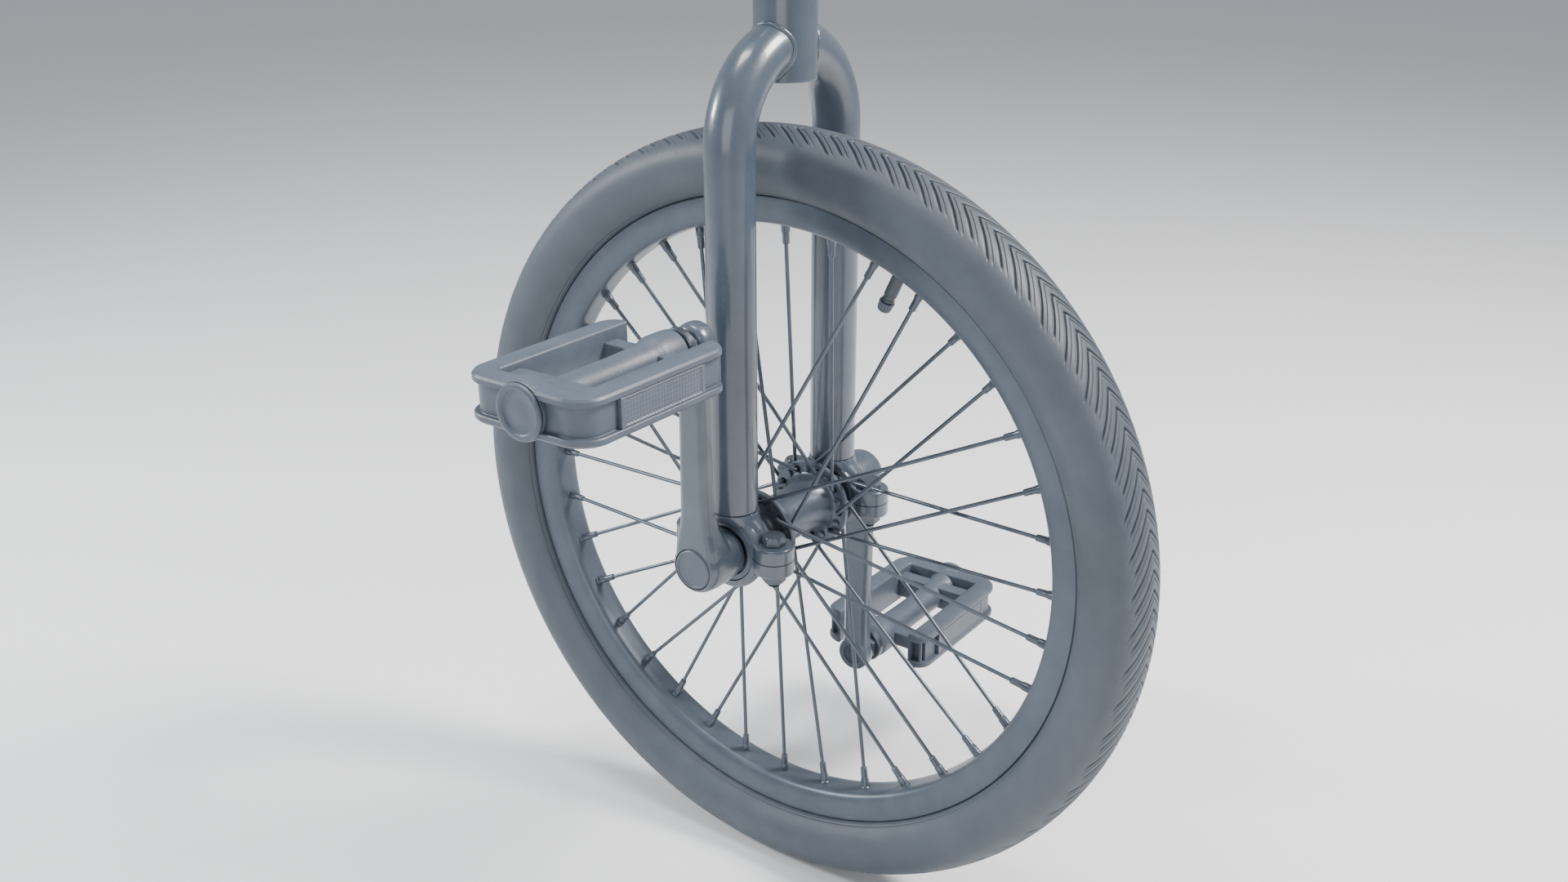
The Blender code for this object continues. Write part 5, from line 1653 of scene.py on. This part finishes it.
@dataclass(frozen=True)
class Saddle:
    """A long unicycle saddle that rises at both ends: padded vinyl over a moulded base, with end bumpers."""

    base: float = 740.8
    half_length: float = 145.0
    waist: float = 50.0
    ends: tuple[float, float] = (59.0, 74.0)  # the front and the rear
    thick_middle: float = 44.0
    thick_ends: float = 30.0
    skirt: float = 5.0
    inset: float = 2.2
    voxel: float = 5.0
    swell: float = 4.0
    swell_frames: int = 20
    pressure: float = 4.0
    flat_half: float = 50.0
    end_rise: float = 36.0
    seam_share: float = 0.56
    seam_depth: float = 1.5
    stitch: float = 4.2
    piping: float = 1.9

    def half_width(self, x: float) -> float:
        """Half of the saddle's width at x.

        Args:
            x: How far forward.

        Returns:
            Half of the width.
        """
        share = abs(x) / self.half_length
        end = self.ends[0] if x > 0 else self.ends[1]
        body = self.waist + (end - self.waist) * min(1.0, 1.25 * share) ** 2
        return body * math.sqrt(max(0.0, 1 - max(0.0, (share - 0.68) / 0.34) ** 2))

    def rise(self, x: float) -> float:
        """How far the saddle's underside has risen at x."""
        return self.end_rise * (max(0.0, abs(x) - self.flat_half) / (self.half_length - self.flat_half)) ** 2

    def thickness(self, x: float) -> float:
        """The padding's height over the base at x."""
        return self.thick_middle + (self.thick_ends - self.thick_middle) * (x / self.half_length) ** 2

    def top_ring(self, x: float, inset: float) -> list[Vector]:
        """The padding's outline at x, over the top from one edge to the other and back along the underside.

        Args:
            x: How far forward.
            inset: How far the outline lies inside the full size.

        Returns:
            The outline's points, in order.
        """
        half = max(0.5, self.half_width(x) - inset)
        base = self.base + self.rise(x)
        tall = self.thickness(x) - inset
        ring = [Vector((x, half * 0.97, base - self.skirt + inset))]
        for step in range(33):
            turn = math.pi * step / 32
            reach = math.copysign(abs(math.cos(turn)) ** 0.62, math.cos(turn))
            lift = 0.25 + 0.75 * math.sin(turn) ** 0.62
            ring.append(Vector((x, half * reach, base + tall * lift)))
        ring.append(Vector((x, -half * 0.97, base - self.skirt + inset)))
        ring += [Vector((x, -half * share, base - self.skirt + inset)) for share in (0.6, 0.2, -0.2, -0.6)]
        return ring

    def padding(self) -> bpy.types.Object:
        """Makes the padded body, in metres, before it is swollen.

        Returns:
            The body as an object.
        """
        rings = []
        for step in range(61):
            x = -math.cos(math.pi * step / 60) * (self.half_length - self.inset - 0.3)
            rings.append(self.top_ring(x, self.inset))
        form = Form().rings(rings)
        form.modified("REMESH", mode="VOXEL", voxel_size=self.voxel)
        bmesh.ops.transform(form.mesh, matrix=Matrix.Scale(MM, 4), verts=form.mesh.verts)
        return form.object("padded_saddle_cover")

    def swollen(self, cover: bpy.types.Object) -> None:
        """Blows the padding up as cloth under pressure, and keeps each point near where it started.

        Args:
            cover: The padded body.
        """
        start = [v.co.copy() for v in cover.data.vertices]
        cloth = cover.modifiers.new("padding", "CLOTH")
        cloth.settings.use_pressure = True
        cloth.settings.uniform_pressure_force = self.pressure
        cloth.settings.effector_weights.gravity = 0.0
        cloth.settings.tension_stiffness = 30.0
        cloth.settings.bending_stiffness = 2.0
        scene = bpy.context.scene
        for number in range(1, self.swell_frames + 1):
            scene.frame_set(number)
        evaluated = cover.evaluated_get(bpy.context.evaluated_depsgraph_get())
        moved = [v.co.copy() for v in evaluated.data.vertices]
        cover.modifiers.remove(cloth)
        scene.frame_set(1)
        most = self.swell * MM
        for vertex, before, after in zip(cover.data.vertices, start, moved):
            step = after - before
            if step.length > most:
                step *= most / step.length
            vertex.co = before + step

    def finished_padding(self, cover: bpy.types.Object) -> Form:
        """Takes the swollen mesh back as a form in millimetres, subdivided and sewn in along its two seams.

        Args:
            cover: The padded body, which is used up.

        Returns:
            The sewn cover.
        """
        form = Form()
        form.mesh.from_mesh(cover.data)
        bpy.data.objects.remove(cover)
        bmesh.ops.transform(form.mesh, matrix=Matrix.Scale(1 / MM, 4), verts=form.mesh.verts)
        form.modified("SUBSURF", levels=2, render_levels=2)
        for vertex in form.mesh.verts:
            x, y, z = vertex.co
            if z < self.base + self.rise(x) + 0.3 * self.thickness(x) or abs(x) > self.half_length - 4:
                continue
            distance = abs(abs(y) - self.seam_y(x))
            vertex.co.z -= self.seam_depth * math.exp(-((distance / 1.7) ** 2))
            if distance > 1.7:
                vertex.co.z += 0.5 * math.exp(-(((distance - 4.5) / 2.5) ** 2))
        for vertex in form.mesh.verts:
            vertex.co.z = max(vertex.co.z, self.underside(vertex.co.x))
        return form

    def underside(self, x: float) -> float:
        """The height that the padding doesn't hang below."""
        return self.base + self.rise(x) - self.skirt

    def seam_y(self, x: float) -> float:
        """How far each long seam lies from the middle at x."""
        return self.seam_share * self.half_width(x) + 2.0

    def build(self) -> None:
        """Makes the cover with its seams, its piping and its stitches, and dresses the rest of the saddle."""
        cover = self.padding()
        self.swollen(cover)
        form = self.finished_padding(cover)
        heights = self.surface(form)
        made = form.piece("sewn_saddle_cover", Body.SEAT, SADDLE_VINYL, "saddle_cover", "saddle_foam", lift=0.0)
        self.build_stitches(heights)
        self.build_piping()
        dress("saddle_base", SADDLE_SHELL, 0.8)
        self.build_bumper(1, "front")
        self.build_bumper(-1, "rear")

    def build_bumper(self, sign: int, word: str) -> None:
        """Makes the moulded strip that guards one end, thinned off at both of its tips.

        Args:
            sign: 1 in front and -1 behind.
            word: The same, front or rear.
        """
        end = self.ends[0] if sign > 0 else self.ends[1]
        reach, steps = math.radians(70), 60
        rings = []
        for step in range(steps + 1):
            turn = reach * (2 * step / steps - 1)
            share = 0.68 + 0.33 * math.cos(turn)
            x = self.half_length * share
            middle = Vector((sign * x, end * math.sin(turn), self.base + self.rise(x) - self.skirt - 8.2))
            out = Vector((sign * math.cos(turn), math.sin(turn) * 1.2, 0)).normalized()
            thin = (1 - abs(turn / reach) ** 6) ** 0.5
            ring = []
            for k in range(28):
                angle = 2 * math.pi * k / 28
                deep = math.copysign(abs(math.cos(angle)) ** 0.55, math.cos(angle)) * lerp(1.2, 3.4, thin)
                tall = math.copysign(abs(math.sin(angle)) ** 0.55, math.sin(angle)) * lerp(1.5, 6.4, thin)
                rib = 0.35 * math.sin(3 * math.pi * tall / 6.4) if deep > 0 else 0.0
                ring.append(middle + out * (deep - 3.0 + rib * thin) + UP * tall)
            rings.append(ring)
        strip = Form().rings(rings)
        strip.piece(f"ribbed_bumper_{word}", Body.SEAT, SADDLE_SHELL, f"saddle_bumper_{word}", lift=0.0)

    def surface(self, form: Form) -> Callable[[float, float], float]:
        """Measures the height of the sewn cover's top, for what is laid on it.

        Args:
            form: The cover, in millimetres.

        Returns:
            A function of x and y that gives the top's height.
        """
        tree = BVHTree.FromBMesh(form.mesh)

        def height(x: float, y: float) -> float:
            """The top's height at x and y."""
            hit = tree.ray_cast(Vector((x, y, self.base + 300)), -UP)[0]
            return hit.z if hit else self.base + self.rise(x) + 0.5 * self.thickness(x)

        return height

    def build_stitches(self, height: Callable[[float, float], float]) -> None:
        """Lays a row of stitches beside each long seam.

        Args:
            height: What surface gives.
        """
        thread = Form()
        for sign in (-1, 1):
            x = -self.half_length + 14
            while x < self.half_length - 14:
                points = []
                for step in range(7):
                    share = step / 6
                    px = x + 0.72 * self.stitch * share
                    py = sign * (self.seam_y(px) + 3.0)
                    sink = 0.55 - 0.85 * math.sin(math.pi * share)
                    points.append(Vector((px, py, height(px, py) - sink)))
                thread.tube(points, 0.42, 8)
                x += self.stitch
        thread.piece("seam_stitches", Body.SEAT, SADDLE_THREAD, lift=0.0)

    def build_piping(self) -> None:
        """Runs a corded edge round the foot of the cover."""
        count = 240
        rings = []
        line = []
        for k in range(count):
            turn = 2 * math.pi * k / count
            x = (self.half_length - 1.5) * math.copysign(abs(math.cos(turn)) ** 0.8, math.cos(turn))
            away = math.sin(turn)
            y = math.copysign(self.half_width(x) * 0.985, away) if abs(away) > 1e-6 else 0.0
            line.append(Vector((x, y, self.base + self.rise(x) - self.skirt + self.piping - 0.4)))
        for k, point in enumerate(line):
            ahead = (line[(k + 1) % count] - line[k - 1]).normalized()
            out = ahead.cross(UP).normalized()
            third = out.cross(ahead)
            turns = [2 * math.pi * i / 12 for i in range(12)]
            rings.append([point + self.piping * (out * math.cos(t) + third * math.sin(t)) for t in turns])
        Form().rings(rings, closed=True).piece("edge_piping", Body.SEAT, SADDLE_VINYL, lift=0.0)


# --- The studio ----------------------------------------------------------------------------------------


@dataclass(frozen=True)
class Lamp:
    """A soft rectangular light that faces the wheel."""

    name: str
    place: tuple[float, float, float]
    power: float
    size: float
    colour: Colour = (1.0, 1.0, 1.0)

    def build(self, target: Vector) -> None:
        """Hangs the light and turns it to the target.

        Args:
            target: What it faces.
        """
        light = bpy.data.lights.new(self.name, "AREA")
        light.energy, light.size, light.color = self.power, self.size, self.colour
        holder = bpy.data.objects.new(self.name, light)
        holder.location = self.place
        holder.rotation_euler = (target - holder.location).to_track_quat("-Z", "Y").to_euler()
        bpy.context.scene.collection.objects.link(holder)


@dataclass(frozen=True)
class Studio:
    """A pale floor, soft lights and the camera."""

    floor_half: float = 40.0
    floor_colour: Colour = (0.80, 0.80, 0.80)
    room: Colour = (0.62, 0.66, 0.72)
    room_strength: float = 0.68
    aim_height: float = 0.3
    lens: float = 34.449
    azimuth: float = 35.654
    elevation: float = 21.770
    distance: float = 0.97903
    shift: tuple[float, float] = (-0.00078, 0.04883)
    lamps: tuple[Lamp, ...] = (
        Lamp("key", (1.2, 0.8, 1.9), 95.0, 0.7, (1.0, 0.97, 0.96)),
        Lamp("top", (-0.3, -0.2, 2.2), 30.0, 0.7),
        Lamp("left_strip", (-1.5, -0.9, 1.1), 34.0, 0.35, (0.92, 0.96, 1.0)),
        Lamp("front_fill", (0.8, -2.0, 0.9), 18.0, 1.4),
    )

    def build(self) -> None:
        """Makes the floor, the lights and the camera."""
        floor = Form().block((-1, -1, -0.02), (1, 1, 0.0))
        bmesh.ops.scale(floor.mesh, vec=(self.floor_half, self.floor_half, 1.0), verts=floor.mesh.verts)
        ground = floor.object("studio_floor")
        shader = Shader("pale_floor", roughness=0.8)
        tint = shader.noise(shader.place(), 3.0, 2)
        shade_low = tuple(0.98 * c for c in self.floor_colour)
        shader.feed("Base Color", shader.mixed(tint, shade_low, self.floor_colour))
        ground.data.materials.append(shader.material)
        world = bpy.data.worlds.new("soft_room")
        world.use_nodes = True
        glow = world.node_tree.nodes["Background"]
        glow.inputs["Color"].default_value = (*self.room, 1.0)
        glow.inputs["Strength"].default_value = self.room_strength
        bpy.context.scene.world = world
        for lamp in self.lamps:
            lamp.build(UP * self.aim_height)
        self.build_camera()

    def build_camera(self) -> None:
        """Sets the camera, which looks down at the wheel from the front right."""
        around, above = math.radians(self.azimuth), math.radians(self.elevation)
        back = Vector((math.sin(around) * math.cos(above), -math.cos(around) * math.cos(above), math.sin(above)))
        right = Vector((math.cos(around), math.sin(around), 0))
        up = back.cross(right)
        camera = bpy.data.cameras.new("camera")
        camera.lens = self.lens
        camera.sensor_width = 36.0
        camera.clip_start = 0.01
        holder = bpy.data.objects.new("camera", camera)
        turned = Matrix((right, up, back)).transposed().to_4x4()
        hub = Vector((0, 0, HUB_HEIGHT * MM))
        place = hub + back * self.distance + right * self.shift[0] + up * self.shift[1]
        holder.matrix_world = Matrix.Translation(place) @ turned
        bpy.context.scene.collection.objects.link(holder)
        bpy.context.scene.camera = holder


def main() -> None:
    """Builds the scene, sub-assembly by sub-assembly."""
    logging.basicConfig(level=logging.INFO, format="%(name)s: %(message)s")
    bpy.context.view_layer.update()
    Studio().build()
    for part in (Tyre(), Rim(), Spokes(), Hub(), Fork(), SeatClamp(), SeatPost()):
        LOG.info("building %s", type(part).__name__)
        part.build()
    for side in Side:
        Crank().build(side)
        Pedal().build(side)
    Saddle().build()


if __name__ == "__main__":
    main()
